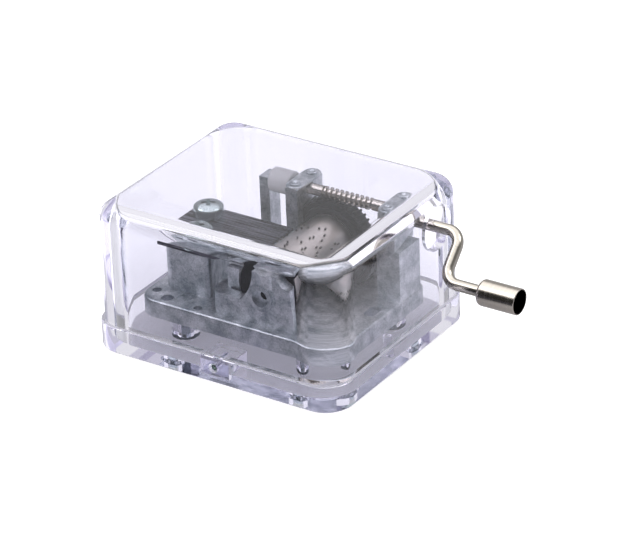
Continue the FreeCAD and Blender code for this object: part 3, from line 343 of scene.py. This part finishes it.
def shell_bm(outer, inner, rim):
    """Join an outer and an inner block into one wall, open at the level of the rim."""
    bmesh.ops.reverse_faces(inner, faces=inner.faces)
    for bm in (outer, inner):
        lids = [f for f in bm.faces if abs(f.calc_center_median().z - rim) < 1e-7]
        bmesh.ops.delete(bm, geom=lids, context="FACES_ONLY")
    inside = bpy.data.meshes.new("inside")
    inner.to_mesh(inside)
    inner.free()
    outer.from_mesh(inside)
    bpy.data.meshes.remove(inside)
    rims = [e for e in outer.edges if e.is_boundary]
    bmesh.ops.bridge_loops(outer, edges=rims)
    bmesh.ops.recalc_face_normals(outer, faces=outer.faces)
    return outer


def carved(name, bm, cuts=(), joins=()):
    """A mesh object from a bmesh, with other closed shapes joined to it and then cut out of it."""
    def linked(title, shape):
        mesh = bpy.data.meshes.new(title)
        bmesh.ops.recalc_face_normals(shape, faces=shape.faces)
        shape.to_mesh(mesh)
        shape.free()
        made = bpy.data.objects.new(title, mesh)
        bpy.context.scene.collection.objects.link(made)
        return made

    piece = linked(name, bm)
    tools = [(linked("tool", shape), "UNION") for shape in joins]
    tools += [(linked("tool", shape), "DIFFERENCE") for shape in cuts]
    for tool, operation in tools:
        step = piece.modifiers.new("carve", "BOOLEAN")
        step.operation = operation
        step.object = tool
        step.solver = "EXACT"
    view = bpy.context.evaluated_depsgraph_get()
    finished = bpy.data.meshes.new_from_object(piece.evaluated_get(view))
    rough = piece.data
    piece.modifiers.clear()
    piece.data = finished
    finished.name = name
    bpy.data.meshes.remove(rough)
    for tool, _ in tools:
        spent = tool.data
        bpy.data.objects.remove(tool)
        bpy.data.meshes.remove(spent)
    return piece


def shade(piece, crease=28.0):
    """Smooth shading that breaks at creases and keeps flat faces flat."""
    bm = bmesh.new()
    bm.from_mesh(piece.data)
    for face in bm.faces:
        face.smooth = True
    for edge in bm.edges:
        edge.smooth = edge.is_manifold and edge.calc_face_angle() < math.radians(crease)
    bm.to_mesh(piece.data)
    bm.free()
    normals = piece.modifiers.new("flat_faces_first", "WEIGHTED_NORMAL")
    normals.mode = "FACE_AREA"
    normals.weight = 100
    normals.keep_sharp = True


def fit(piece, material, body, slot, *replaced):
    """Give a finished piece its material and its place in the assembly."""
    piece.data.materials.clear()
    piece.data.materials.append(material)
    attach(piece, body)
    if replaced:
        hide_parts(*replaced)


cover_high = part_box("case_cover")[1]
tray_low, tray_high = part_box("case_base")
half_x = cover_high.x
half_y = cover_high.y
room_x = half_x - WALL * MM
room_y = half_y - WALL * MM
rim_z = RIM * MM
plastic = clear_polystyrene()

tray_outer = rounded_block_bm((tray_low.x, tray_low.y, 0), (tray_high.x, tray_high.y, rim_z),
                              (OUTER_CORNER + LEDGE) * MM)
bevel_level(tray_outer, 0, SOFT_EDGE * MM, 3)
bevel_level(tray_outer, rim_z, SOFT_EDGE * MM, 3)
tray_room = rounded_block_bm((-room_x, -room_y, TRAY_FLOOR * MM), (room_x, room_y, rim_z),
                             INNER_CORNER * MM)
tray_shell = shell_bm(tray_outer, tray_room, rim_z)
joins = []
cuts = []
for pair in solid_boxes("movement_screws"):
    x, y, _ = middle(pair)
    joins.append(bar_bm((x, y, TRAY_FLOOR * MM / 2), (x, y, POST_TOP * MM), POST * MM / 2))
    cuts.append(bar_bm((x, y, -MM), (x, y, (POST_TOP + 1) * MM), SCREW_HOLE * MM / 2, 32))
    cuts.append(bar_bm((x, y, -MM), (x, y, SCREW_RECESS[1] * MM), SCREW_RECESS[0] * MM / 2, 48))
peg_x, peg_y, peg_width, peg_top = (v * MM for v in PEG)
joins.append(bar_bm((peg_x, peg_y, TRAY_FLOOR * MM / 2), (peg_x, peg_y, peg_top),
                    peg_width / 2, 32))
screw_x, screw_z = (v * MM for v in SIDE_SCREW_MM)
for side in (-1, 1):
    width, near, far, top = (v * MM for v in SLOT_BLOCK)
    y0, y1 = sorted((side * near, side * far))
    joins.append(box_bm((screw_x - width / 2, y0, TRAY_FLOOR * MM / 2),
                        (screw_x + width / 2, y1, top)))
    width, near, far, bottom = (v * MM for v in SLOT)
    y0, y1 = sorted((side * near, side * far))
    cuts.append(box_bm((screw_x - width / 2, y0, bottom), (screw_x + width / 2, y1, rim_z + MM)))
    head_hole, shank_hole = (v * MM / 2 for v in SIDE_SCREW_HOLES)
    cuts.append(bar_bm((screw_x, side * (far + 3 * MM), screw_z),
                       (screw_x, side * (far - MM / 2), screw_z), head_hole, 32))
    cuts.append(bar_bm((screw_x, side * far, screw_z),
                       (screw_x, side * SIDE_SCREW_END * MM, screw_z), shank_hole, 32))
tray = carved("clear_tray", tray_shell, cuts, joins)
shade(tray)
fit(tray, plastic, "case", "clear_plastic", "case_base")


# ---- screws under the tray ----
# Four zinc-plated pan-head steel screws, driven up through the tray's posts into the bedplate. The
# two small side screws that hold the cover's tongues have the same plating.
def zinc_plated_steel():
    """Bright zinc plating over steel: near-mirror, with the plating's cold green-blue cast."""
    material, tree, shader = new_material("zinc_plated_steel")
    place = add_node(tree, "ShaderNodeTexCoord").outputs["Object"]
    drift = add_node(tree, "ShaderNodeTexNoise", {
        "Vector": place, "Scale": 1 / (1.2 * MM), "Detail": 3.0})
    colour = add_node(tree, "ShaderNodeMix", {
        "Factor": drift.outputs["Fac"],
        6: linear("#A9B9B6"), 7: linear("#D6DEDC")}, data_type="RGBA")
    gloss = add_node(tree, "ShaderNodeMapRange", {
        "Value": drift.outputs["Fac"], "To Min": 0.12, "To Max": 0.26})
    shader.inputs["Metallic"].default_value = 1.0
    tree.links.new(colour.outputs[2], shader.inputs["Base Color"])
    tree.links.new(gloss.outputs["Result"], shader.inputs["Roughness"])
    return material


plating = zinc_plated_steel()
for name in ("movement_screws", "case_screws"):
    nodes[name].data.materials.clear()
    nodes[name].data.materials.append(plating)


# ---- bedplate ----
# One zinc die casting that carries the comb, the cylinder, the crank's bearings and the bush. The
# casting comes from the die with a mottled grey skin and softly rounded edges.
CAST_EDGE = 0.22


def die_cast_zinc():
    """Zinc alloy as cast: cool grey, cloudy where the metal chilled, with a fine rippled skin."""
    material, tree, shader = new_material("die_cast_zinc")
    place = add_node(tree, "ShaderNodeTexCoord").outputs["Object"]
    clouds = add_node(tree, "ShaderNodeTexNoise", {
        "Vector": place, "Scale": 1 / (3.0 * MM), "Detail": 5.0, "Roughness": 0.6})
    grain = add_node(tree, "ShaderNodeTexNoise", {
        "Vector": place, "Scale": 1 / (0.35 * MM), "Detail": 3.0, "Roughness": 0.6})
    both = add_node(tree, "ShaderNodeMix", {
        "Factor": 0.35, "A": clouds.outputs["Fac"], "B": grain.outputs["Fac"]}, data_type="FLOAT")
    shares = add_node(tree, "ShaderNodeMapRange", {
        "Value": both.outputs["Result"], "From Min": 0.38, "From Max": 0.62})
    colour = add_node(tree, "ShaderNodeMix", {
        "Factor": shares.outputs["Result"],
        6: linear("#9BA4A9"), 7: linear("#F4F7F8")}, data_type="RGBA")
    gloss = add_node(tree, "ShaderNodeMapRange", {
        "Value": grain.outputs["Fac"], "From Min": 0.3, "From Max": 0.7,
        "To Min": 0.34, "To Max": 0.5})
    skin = add_node(tree, "ShaderNodeBump", {
        "Height": both.outputs["Result"], "Strength": 0.35, "Distance": 0.12 * MM})
    shader.inputs["Metallic"].default_value = 1.0
    tree.links.new(colour.outputs[2], shader.inputs["Base Color"])
    tree.links.new(gloss.outputs["Result"], shader.inputs["Roughness"])
    tree.links.new(skin.outputs["Normal"], shader.inputs["Normal"])
    return material


def soft_edged_copy(node, name, width, segments=2):
    """A copy of a CAD node's mesh, merged, with its edges rounded by a Bevel modifier."""
    mesh = nodes[node].data.copy()
    mesh.name = name
    bm = bmesh.new()
    bm.from_mesh(mesh)
    bmesh.ops.remove_doubles(bm, verts=bm.verts, dist=1e-7)
    bmesh.ops.dissolve_limit(bm, angle_limit=math.radians(0.5), verts=bm.verts, edges=bm.edges)
    bm.to_mesh(mesh)
    bm.free()
    piece = bpy.data.objects.new(name, mesh)
    bpy.context.scene.collection.objects.link(piece)
    edges = piece.modifiers.new("soft_edges", "BEVEL")
    edges.width = width * MM
    edges.segments = segments
    edges.limit_method = "ANGLE"
    edges.angle_limit = math.radians(35)
    edges.miter_outer = "MITER_ARC"
    edges.use_clamp_overlap = True
    shade(piece, 40.0)
    return piece


casting = die_cast_zinc()
bed = soft_edged_copy("bedplate", "cast_bedplate", CAST_EDGE)
fit(bed, casting, "case", "zinc_casting", "bedplate")


# ---- comb ----
# Hardened steel, ground flat on top with the grinding marks along the teeth, and screwed to the
# bedplate's block. Lead weights and damper wires hang under the teeth.
def ground_comb_steel():
    """Hardened steel, ground: dark, with straight lines that run with the teeth.

    The real lines are finer than a tenth of a millimetre, and are drawn coarser so that they show.
    """
    material, tree, shader = new_material("ground_comb_steel")
    place = add_node(tree, "ShaderNodeTexCoord").outputs["Object"]
    along = add_node(tree, "ShaderNodeMapping", {
        "Vector": place, "Scale": (1 / (14.0 * MM), 1 / (0.5 * MM), 1 / (0.5 * MM))})
    lines = add_node(tree, "ShaderNodeTexNoise", {
        "Vector": along.outputs["Vector"], "Scale": 1.0, "Detail": 3.0, "Roughness": 0.65})
    shares = add_node(tree, "ShaderNodeMapRange", {
        "Value": lines.outputs["Fac"], "From Min": 0.38, "From Max": 0.62})
    colour = add_node(tree, "ShaderNodeMix", {
        "Factor": shares.outputs["Result"],
        6: linear("#131318"), 7: linear("#8C8C96")}, data_type="RGBA")
    gloss = add_node(tree, "ShaderNodeMapRange", {
        "Value": shares.outputs["Result"], "To Min": 0.26, "To Max": 0.42})
    marks = add_node(tree, "ShaderNodeBump", {
        "Height": lines.outputs["Fac"], "Strength": 0.3, "Distance": 0.05 * MM})
    shader.inputs["Metallic"].default_value = 1.0
    tree.links.new(colour.outputs[2], shader.inputs["Base Color"])
    tree.links.new(gloss.outputs["Result"], shader.inputs["Roughness"])
    tree.links.new(marks.outputs["Normal"], shader.inputs["Normal"])
    return material


def cast_lead():
    """Lead: dull blue-grey, softly mottled by its oxide."""
    material, tree, shader = new_material("cast_lead")
    place = add_node(tree, "ShaderNodeTexCoord").outputs["Object"]
    oxide = add_node(tree, "ShaderNodeTexNoise", {
        "Vector": place, "Scale": 1 / (0.5 * MM), "Detail": 4.0})
    colour = add_node(tree, "ShaderNodeMix", {
        "Factor": oxide.outputs["Fac"],
        6: linear("#4C5055"), 7: linear("#777B80")}, data_type="RGBA")
    shader.inputs["Metallic"].default_value = 1.0
    shader.inputs["Roughness"].default_value = 0.6
    tree.links.new(colour.outputs[2], shader.inputs["Base Color"])
    return material


comb_steel = ground_comb_steel()
for name, finish in (
        ("comb", comb_steel), ("comb_weights", cast_lead()), ("comb_dampers", plating)):
    nodes[name].data.materials.clear()
    nodes[name].data.materials.append(finish)


# ---- comb screws ----
# Two steel screws with wide domed heads and a cross recess, turned and zinc plated. They clamp the
# comb to the bedplate's block. Their domes stand higher than in the construction, by HEAD_PROUD.
HEAD_RECESS_LENGTH = 3.9
HEAD_RECESS_WIDTH = 0.95
HEAD_RECESS_DEPTH = 1.5
HEAD_RECESS_TURN = 35.0
HEAD_PROUD = 0.8
HEAD_CHAMFER = (0.96, 0.12)
HEAD_SIDE_SHARE = 0.62
SHANK_RADIUS = 1.3
RECESS_TAPER = (0.62, 0.7)


def domed_screw_bm(centre, radius, height, foot):
    """A screw: its shank, and a head whose short side runs into an elliptical dome, spun in one."""
    bm = bmesh.new()
    side = height * HEAD_SIDE_SHARE
    shank = SHANK_RADIUS * MM
    outline = [(0.0, foot), (shank, foot), (shank, 0.0), (radius * HEAD_CHAMFER[0], 0.0)]
    outline += [(radius, height * HEAD_CHAMFER[1]), (radius, side)]
    steps = 10
    for i in range(1, steps):
        angle = math.pi / 2 * i / steps
        outline.append((radius * math.cos(angle), side + (height - side) * math.sin(angle)))
    outline.append((0.0, height))
    verts = [bm.verts.new((centre.x + r, centre.y, centre.z + z)) for r, z in outline]
    edges = [bm.edges.new(pair) for pair in zip(verts, verts[1:])]
    bmesh.ops.spin(bm, geom=verts + edges, cent=centre, axis=(0, 0, 1),
                   angle=2 * math.pi, steps=64, use_merge=True)
    bmesh.ops.remove_doubles(bm, verts=bm.verts, dist=1e-7)
    return bm


def cross_cut(centre, top, length, width, depth, turn):
    """A cross, narrower at its foot, that cuts a recess down into a screw's top in one step."""
    bm = bmesh.new()
    for arm, half, z in ((length / 2, width / 2, depth),
                         (length / 2 * RECESS_TAPER[0], width / 2 * RECESS_TAPER[1], -depth)):
        corners = [Matrix.Rotation(math.radians(quarter), 2) @ Vector(corner)
                   for quarter in (0, 90, 180, 270)
                   for corner in ((arm, -half), (arm, half), (half, half))]
        bm.faces.new([bm.verts.new((x, y, z)) for x, y in corners])
    bmesh.ops.bridge_loops(bm, edges=list(bm.edges))
    spot = Matrix.Translation((centre.x, centre.y, top))
    turned_by = Matrix.Rotation(math.radians(turn), 4, "Z")
    bmesh.ops.transform(bm, matrix=spot @ turned_by, verts=bm.verts)
    return bm


comb_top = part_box("comb")[1].z
for index, (low, high) in enumerate(solid_boxes("comb_screws")):
    spot = middle((low, high))
    radius = (high.x - low.x) / 2
    seat = Vector((spot.x, spot.y, comb_top))
    head_top = high.z + HEAD_PROUD * MM
    recess = cross_cut(seat, head_top, HEAD_RECESS_LENGTH * MM, HEAD_RECESS_WIDTH * MM,
                       HEAD_RECESS_DEPTH * MM, HEAD_RECESS_TURN)
    whole = domed_screw_bm(seat, radius, head_top - comb_top, low.z - comb_top)
    screw = carved(f"comb_screw_{index + 1}", whole, [recess])
    shade(screw)
    fit(screw, plating, "case", "plated_screw", "comb_screws")


# ---- cylinder ----
# A thin metal tube, rolled and plated, full of steel pins that stick out through it; resin poured
# inside holds them. A black moulded cap closes its front, and the worm wheel its back.
def satin_nickel_tube():
    """Plated tube, turned: warm silver with faint rings round it."""
    material, tree, shader = new_material("satin_nickel_tube")
    place = add_node(tree, "ShaderNodeTexCoord").outputs["Object"]
    around = add_node(tree, "ShaderNodeMapping", {
        "Vector": place, "Scale": (1 / (6.0 * MM), 1 / (0.18 * MM), 1 / (6.0 * MM))})
    rings = add_node(tree, "ShaderNodeTexNoise", {
        "Vector": around.outputs["Vector"], "Scale": 1.0, "Detail": 3.0})
    colour = add_node(tree, "ShaderNodeMix", {
        "Factor": rings.outputs["Fac"],
        6: linear("#CDC4BB"), 7: linear("#ECE6DF")}, data_type="RGBA")
    shader.inputs["Metallic"].default_value = 1.0
    shader.inputs["Roughness"].default_value = 0.3
    tree.links.new(colour.outputs[2], shader.inputs["Base Color"])
    return material


def drawn_pin_wire():
    """Drawn steel wire, cut: dark grey."""
    material, tree, shader = new_material("drawn_pin_wire")
    place = add_node(tree, "ShaderNodeTexCoord").outputs["Object"]
    drift = add_node(tree, "ShaderNodeTexNoise", {
        "Vector": place, "Scale": 1 / (0.4 * MM), "Detail": 2.0})
    colour = add_node(tree, "ShaderNodeMix", {
        "Factor": drift.outputs["Fac"],
        6: linear("#4F4C49"), 7: linear("#8C8883")}, data_type="RGBA")
    shader.inputs["Metallic"].default_value = 1.0
    shader.inputs["Roughness"].default_value = 0.35
    tree.links.new(colour.outputs[2], shader.inputs["Base Color"])
    return material


def blackened_steel():
    """Steel pin, oil blackened: nearly black, with a soft gloss."""
    material, tree, shader = new_material("blackened_steel")
    place = add_node(tree, "ShaderNodeTexCoord").outputs["Object"]
    drift = add_node(tree, "ShaderNodeTexNoise", {
        "Vector": place, "Scale": 1 / (0.6 * MM), "Detail": 2.0})
    colour = add_node(tree, "ShaderNodeMix", {
        "Factor": drift.outputs["Fac"],
        6: linear("#121214"), 7: linear("#26262A")}, data_type="RGBA")
    shader.inputs["Metallic"].default_value = 1.0
    shader.inputs["Roughness"].default_value = 0.4
    tree.links.new(colour.outputs[2], shader.inputs["Base Color"])
    return material


def moulded_plastic(name, low, high, roughness):
    """Filled nylon or acetal as moulded: an even colour with a slightly uneven gloss."""
    material, tree, shader = new_material(name)
    place = add_node(tree, "ShaderNodeTexCoord").outputs["Object"]
    drift = add_node(tree, "ShaderNodeTexNoise", {
        "Vector": place, "Scale": 1 / (1.5 * MM), "Detail": 3.0})
    colour = add_node(tree, "ShaderNodeMix", {
        "Factor": drift.outputs["Fac"], 6: linear(low), 7: linear(high)}, data_type="RGBA")
    gloss = add_node(tree, "ShaderNodeMapRange", {
        "Value": drift.outputs["Fac"], "To Min": roughness - 0.06, "To Max": roughness + 0.06})
    shader.inputs["IOR"].default_value = 1.5
    shader.inputs["Specular IOR Level"].default_value = 0.3
    tree.links.new(colour.outputs[2], shader.inputs["Base Color"])
    tree.links.new(gloss.outputs["Result"], shader.inputs["Roughness"])
    return material


tube_metal = satin_nickel_tube()
pin_wire = drawn_pin_wire()
for name, finish in (
        ("cylinder_tube", tube_metal), ("cylinder_pins", pin_wire),
        ("cylinder_arbor", blackened_steel()),
        ("cylinder_resin", moulded_plastic("poured_resin", "#4A3A28", "#5E4A34", 0.4)),
        ("cylinder_end_cap", moulded_plastic("black_acetal", "#050506", "#0D0D0F", 0.45)),
        ("worm_wheel", moulded_plastic("slate_acetal", "#07080E", "#11131D", 0.35))):
    nodes[name].data.materials.clear()
    nodes[name].data.materials.append(finish)


# ---- thrust bush ----
# A milky nylon bush, moulded, that sits between the pillar and the inner bearing with its stub in
# the pillar. The rod's end turns in it and pushes against it.
def natural_nylon():
    """Unfilled nylon: milky, lets some light through, softly glossy."""
    material, tree, shader = new_material("natural_nylon")
    place = add_node(tree, "ShaderNodeTexCoord").outputs["Object"]
    drift = add_node(tree, "ShaderNodeTexNoise", {
        "Vector": place, "Scale": 1 / (1.0 * MM), "Detail": 3.0})
    colour = add_node(tree, "ShaderNodeMix", {
        "Factor": drift.outputs["Fac"],
        6: linear("#F4F4F2"), 7: linear("#FFFFFF")}, data_type="RGBA")
    shader.inputs["IOR"].default_value = 1.53
    shader.inputs["Roughness"].default_value = 0.35
    shader.inputs["Subsurface Weight"].default_value = 0.1
    shader.inputs["Subsurface Scale"].default_value = 1.5 * MM
    shader.inputs["Subsurface Radius"].default_value = (1.0, 1.0, 1.0)
    tree.links.new(colour.outputs[2], shader.inputs["Base Color"])
    return material


bush = soft_edged_copy("thrust_bush", "nylon_thrust_bush", 0.3, 3)
fit(bush, natural_nylon(), "case", "nylon", "thrust_bush")


# ---- crank rod ----
# Steel rod, bent cold and nickel plated, with the worm cut into it between its two bearings: one
# right-handed thread round the rod's thinner stretch, turned so that it stands in the wheel's gaps.
WORM_X = (3.9, 16.4)
WORM_PITCH = 1.25
WORM_CORE = 0.83
WORM_CREST = 1.36
THREAD_ROOT = 0.7
THREAD_TIP = 0.36
THREAD_SUNK = 0.1
THREAD_STEPS = 24
THREAD_PHASE = 285.0


def bright_nickel():
    """Bright nickel plating: a warm mirror with faint drawing marks under it."""
    material, tree, shader = new_material("bright_nickel")
    place = add_node(tree, "ShaderNodeTexCoord").outputs["Object"]
    along = add_node(tree, "ShaderNodeMapping", {
        "Vector": place, "Scale": (1 / (4.0 * MM), 1 / (0.4 * MM), 1 / (0.4 * MM))})
    marks = add_node(tree, "ShaderNodeTexNoise", {
        "Vector": along.outputs["Vector"], "Scale": 1.0, "Detail": 3.0})
    colour = add_node(tree, "ShaderNodeMix", {
        "Factor": marks.outputs["Fac"],
        6: linear("#A6A098"), 7: linear("#C8C2B9")}, data_type="RGBA")
    gloss = add_node(tree, "ShaderNodeMapRange", {
        "Value": marks.outputs["Fac"], "From Min": 0.3, "From Max": 0.7,
        "To Min": 0.05, "To Max": 0.13})
    shader.inputs["Metallic"].default_value = 1.0
    tree.links.new(colour.outputs[2], shader.inputs["Base Color"])
    tree.links.new(gloss.outputs["Result"], shader.inputs["Roughness"])
    return material


crank_joint = next(j for j in frame["joints"] if j["name"] == "crank_turn")
rod_y, rod_z = crank_joint["pos_m"][1:]
thread_bm = bmesh.new()
thread_start = WORM_X[0] + THREAD_ROOT / 2
thread_turns = (WORM_X[1] - WORM_X[0] - THREAD_ROOT) / WORM_PITCH
flanks = [(-THREAD_ROOT / 2, WORM_CORE - THREAD_SUNK), (-THREAD_TIP / 2, WORM_CREST),
          (THREAD_TIP / 2, WORM_CREST), (THREAD_ROOT / 2, WORM_CORE - THREAD_SUNK)]
verts = [thread_bm.verts.new(((thread_start + along) * MM, rod_y, rod_z + r * MM))
         for along, r in flanks]
edges = [thread_bm.edges.new(pair) for pair in zip(verts, verts[1:] + verts[:1])]
steps = round(thread_turns * THREAD_STEPS)
step_along = WORM_PITCH * thread_turns / steps * MM
bmesh.ops.spin(thread_bm, geom=verts + edges, cent=(0, rod_y, rod_z), axis=(1, 0, 0),
               angle=2 * math.pi * thread_turns, steps=steps, dvec=(step_along, 0, 0))
bmesh.ops.holes_fill(thread_bm, edges=[e for e in thread_bm.edges if e.is_boundary])
bmesh.ops.rotate(thread_bm, verts=thread_bm.verts, cent=(0, rod_y, rod_z),
                 matrix=Matrix.Rotation(math.radians(THREAD_PHASE), 3, "X"))
nickel = bright_nickel()
thread = carved("worm_thread", thread_bm)
shade(thread)
fit(thread, nickel, "crank", "nickel")
for name, finish in (("crank_shaft", nickel), ("handle_retainer", pin_wire)):
    nodes[name].data.materials.clear()
    nodes[name].data.materials.append(finish)


# ---- bearing caps and rivets ----
# Plates stamped from the same zinc, laid over the rod's slots in the two bearings. Each is staked
# down by two rivets with a dimple in the head.
CAP_EDGE = 0.18
RIVET_SHANK_RADIUS = 0.75
RIVET_DIMPLE_RADIUS = 0.75
RIVET_SIDE = ((0.97, 0.0), (1.0, 0.25), (0.98, 0.6), (0.9, 0.9), (0.8, 1.0))
RIVET_DIMPLE = ((1.0, 1.0), (0.85, 0.8), (0.6, 0.3), (0.0, 0.15))
for name in ("inner", "outer"):
    cap = soft_edged_copy(f"bearing_cap_{name}", f"stamped_cap_{name}", CAP_EDGE)
    fit(cap, casting, "case", "zinc_casting", f"bearing_cap_{name}")

cap_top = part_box("bearing_cap_inner")[1].z
for index, (low, high) in enumerate(solid_boxes("bearing_cap_rivets")):
    spot = middle((low, high))
    radius = (high.x - low.x) / 2
    height = high.z - cap_top
    foot = low.z - cap_top
    shank = RIVET_SHANK_RADIUS * MM
    dimple = RIVET_DIMPLE_RADIUS * MM
    outline = [(0.0, foot), (shank, foot), (shank, 0.0)]
    outline += [(radius * r, height * z) for r, z in RIVET_SIDE]
    outline += [(dimple * r, height * z) for r, z in RIVET_DIMPLE]
    bm = bmesh.new()
    verts = [bm.verts.new((spot.x + r, spot.y, cap_top + z)) for r, z in outline]
    edges = [bm.edges.new(pair) for pair in zip(verts, verts[1:])]
    bmesh.ops.spin(bm, geom=verts + edges, cent=spot, axis=(0, 0, 1),
                   angle=2 * math.pi, steps=40, use_merge=True)
    bmesh.ops.remove_doubles(bm, verts=bm.verts, dist=1e-7)
    rivet = carved(f"cap_rivet_{index + 1}", bm)
    shade(rivet, 50.0)
    fit(rivet, casting, "case", "rivet_steel", "bearing_cap_rivets")


# ---- handle sleeve ----
# A sleeve drawn from sheet metal, rolled over at its open end, polished and nickel plated. It spins
# on the rod's end, on a hole in its neck.
SLEEVE_WALL = 0.3
SLEEVE_NECK = (1.65, 0.5)
SLEEVE_HOLE = 1.35
SLEEVE_FLOOR = 1.2
BORE_MARGIN = 0.1
NECK_CHAMFER = 0.1
SHOULDER_RADIUS = 0.9
LIP_RADIUS = 0.12
LIP_CHAMFER = (0.05, 0.04)
sleeve_low, sleeve_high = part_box("handle_sleeve")
axis = middle((sleeve_low, sleeve_high))
outer = (sleeve_high.y - sleeve_low.y) / 2
length = sleeve_high.x - sleeve_low.x


def brushed_nickel():
    """Plated sleeve, polished round and round: fine rings outside, and its bore painted near-black
    as painted shade.
    """
    material, tree, shader = new_material("brushed_nickel")
    place = add_node(tree, "ShaderNodeTexCoord").outputs["Object"]
    around = add_node(tree, "ShaderNodeMapping", {
        "Vector": place, "Scale": (1 / (0.25 * MM), 1 / (12.0 * MM), 1 / (12.0 * MM))})
    rings = add_node(tree, "ShaderNodeTexNoise", {
        "Vector": around.outputs["Vector"], "Scale": 1.0, "Detail": 4.0, "Roughness": 0.7})
    colour = add_node(tree, "ShaderNodeMix", {
        "Factor": rings.outputs["Fac"],
        6: linear("#B3ABA2"), 7: linear("#CFC8C0")}, data_type="RGBA")
    gloss = add_node(tree, "ShaderNodeMapRange", {
        "Value": rings.outputs["Fac"], "From Min": 0.3, "From Max": 0.7,
        "To Min": 0.1, "To Max": 0.22})
    # Painted shade: inside the sleeve, past the neck, the bore is painted near-black.
    parts = add_node(tree, "ShaderNodeSeparateXYZ", {"Vector": place})
    from_axis = [
        add_node(tree, "ShaderNodeMath", {0: parts.outputs[name], 1: value}, operation="SUBTRACT")
        for name, value in (("Y", axis.y), ("Z", axis.z))]
    flat = add_node(tree, "ShaderNodeCombineXYZ", {
        "Y": from_axis[0].outputs["Value"], "Z": from_axis[1].outputs["Value"]})
    radius = add_node(tree, "ShaderNodeVectorMath", {0: flat.outputs["Vector"]}, operation="LENGTH")
    within = add_node(tree, "ShaderNodeMath", {
        0: radius.outputs["Value"],
        1: outer - (SLEEVE_WALL - BORE_MARGIN) * MM}, operation="LESS_THAN")
    beyond_neck = add_node(tree, "ShaderNodeMath", {
        0: parts.outputs["X"],
        1: sleeve_low.x + (SLEEVE_FLOOR - BORE_MARGIN) * MM}, operation="GREATER_THAN")
    bore = add_node(tree, "ShaderNodeMath", {
        0: within.outputs["Value"], 1: beyond_neck.outputs["Value"]}, operation="MULTIPLY")
    bore_painted_shade = add_node(tree, "ShaderNodeMix", {
        "Factor": bore.outputs["Value"],
        6: colour.outputs[2], 7: linear("#16130F")}, data_type="RGBA")
    shader.inputs["Metallic"].default_value = 1.0
    tree.links.new(bore_painted_shade.outputs[2], shader.inputs["Base Color"])
    tree.links.new(gloss.outputs["Result"], shader.inputs["Roughness"])
    return material


neck, neck_length = (v * MM for v in SLEEVE_NECK)
shoulder = SHOULDER_RADIUS * MM
lip = LIP_RADIUS * MM
inner = outer - SLEEVE_WALL * MM
chamfer = NECK_CHAMFER * MM
outline = [(0.0, SLEEVE_HOLE * MM), (0.0, neck - chamfer), (chamfer, neck), (neck_length, neck)]
for i in range(9):
    angle = math.pi / 2 * i / 8
    outline.append((neck_length + shoulder * (1 - math.cos(angle)),
                    outer - shoulder * (1 - math.sin(angle))))
for i in range(7):
    angle = math.pi / 2 * i / 6
    outline.append((length - lip * (1 - math.sin(angle)), outer - lip * (1 - math.cos(angle))))
outline += [(length, inner + LIP_CHAMFER[1] * MM), (length - LIP_CHAMFER[0] * MM, inner)]
outline += [(SLEEVE_FLOOR * MM, inner), (SLEEVE_FLOOR * MM, SLEEVE_HOLE * MM)]
sleeve_bm = bmesh.new()
verts = [sleeve_bm.verts.new((sleeve_low.x + x, axis.y, axis.z + r)) for x, r in outline]
edges = [sleeve_bm.edges.new(pair) for pair in zip(verts, verts[1:] + verts[:1])]
bmesh.ops.spin(sleeve_bm, geom=verts + edges, cent=axis, axis=(1, 0, 0),
               angle=2 * math.pi, steps=72, use_merge=True)
bmesh.ops.remove_doubles(sleeve_bm, verts=sleeve_bm.verts, dist=1e-7)
sleeve = carved("drawn_sleeve", sleeve_bm)
shade(sleeve)
fit(sleeve, brushed_nickel(), "handle", "nickel", "handle_sleeve")


# ---- clear cover ----
# The upper half of the case, moulded like the tray, with a round hole for the crank and two tongues
# that slide into the tray's slots.
TOP_EDGE = 4.0
INNER_TOP_EDGE = 0.6
CRANK_HOLE = 10.3
CRANK_HOLE_FROM_ROD = (3.0, -2.1)
TONGUE = (7.0, 23.7, 25.25, 1.2)
TONGUE_HOLE_RADIUS = 0.7
cover_outer = rounded_block_bm((-half_x, -half_y, rim_z), (half_x, half_y, cover_high.z),
                               OUTER_CORNER * MM)
bevel_level(cover_outer, cover_high.z, TOP_EDGE * MM, 14)
ceiling = cover_high.z - WALL * MM
cover_room = rounded_block_bm((-room_x, -room_y, rim_z), (room_x, room_y, ceiling),
                              INNER_CORNER * MM)
bevel_level(cover_room, ceiling, INNER_TOP_EDGE * MM, 6)
cover_shell = shell_bm(cover_outer, cover_room, rim_z)
hole_y = rod_y + CRANK_HOLE_FROM_ROD[0] * MM
hole_z = rod_z + CRANK_HOLE_FROM_ROD[1] * MM
cuts = [bar_bm((room_x - 2 * MM, hole_y, hole_z), (half_x + MM, hole_y, hole_z),
               CRANK_HOLE * MM / 2, 96)]
joins = []
for side in (-1, 1):
    width, near, far, bottom = (v * MM for v in TONGUE)
    y0, y1 = sorted((side * near, side * far))
    joins.append(box_bm((screw_x - width / 2, y0, bottom), (screw_x + width / 2, y1, rim_z + MM)))
    cuts.append(bar_bm((screw_x, side * (near - MM), screw_z),
                       (screw_x, side * (far + MM), screw_z), TONGUE_HOLE_RADIUS * MM, 32))
cover = carved("clear_cover", cover_shell, cuts, joins)
shade(cover)
fit(cover, plastic, "case", "clear_plastic", "case_cover")
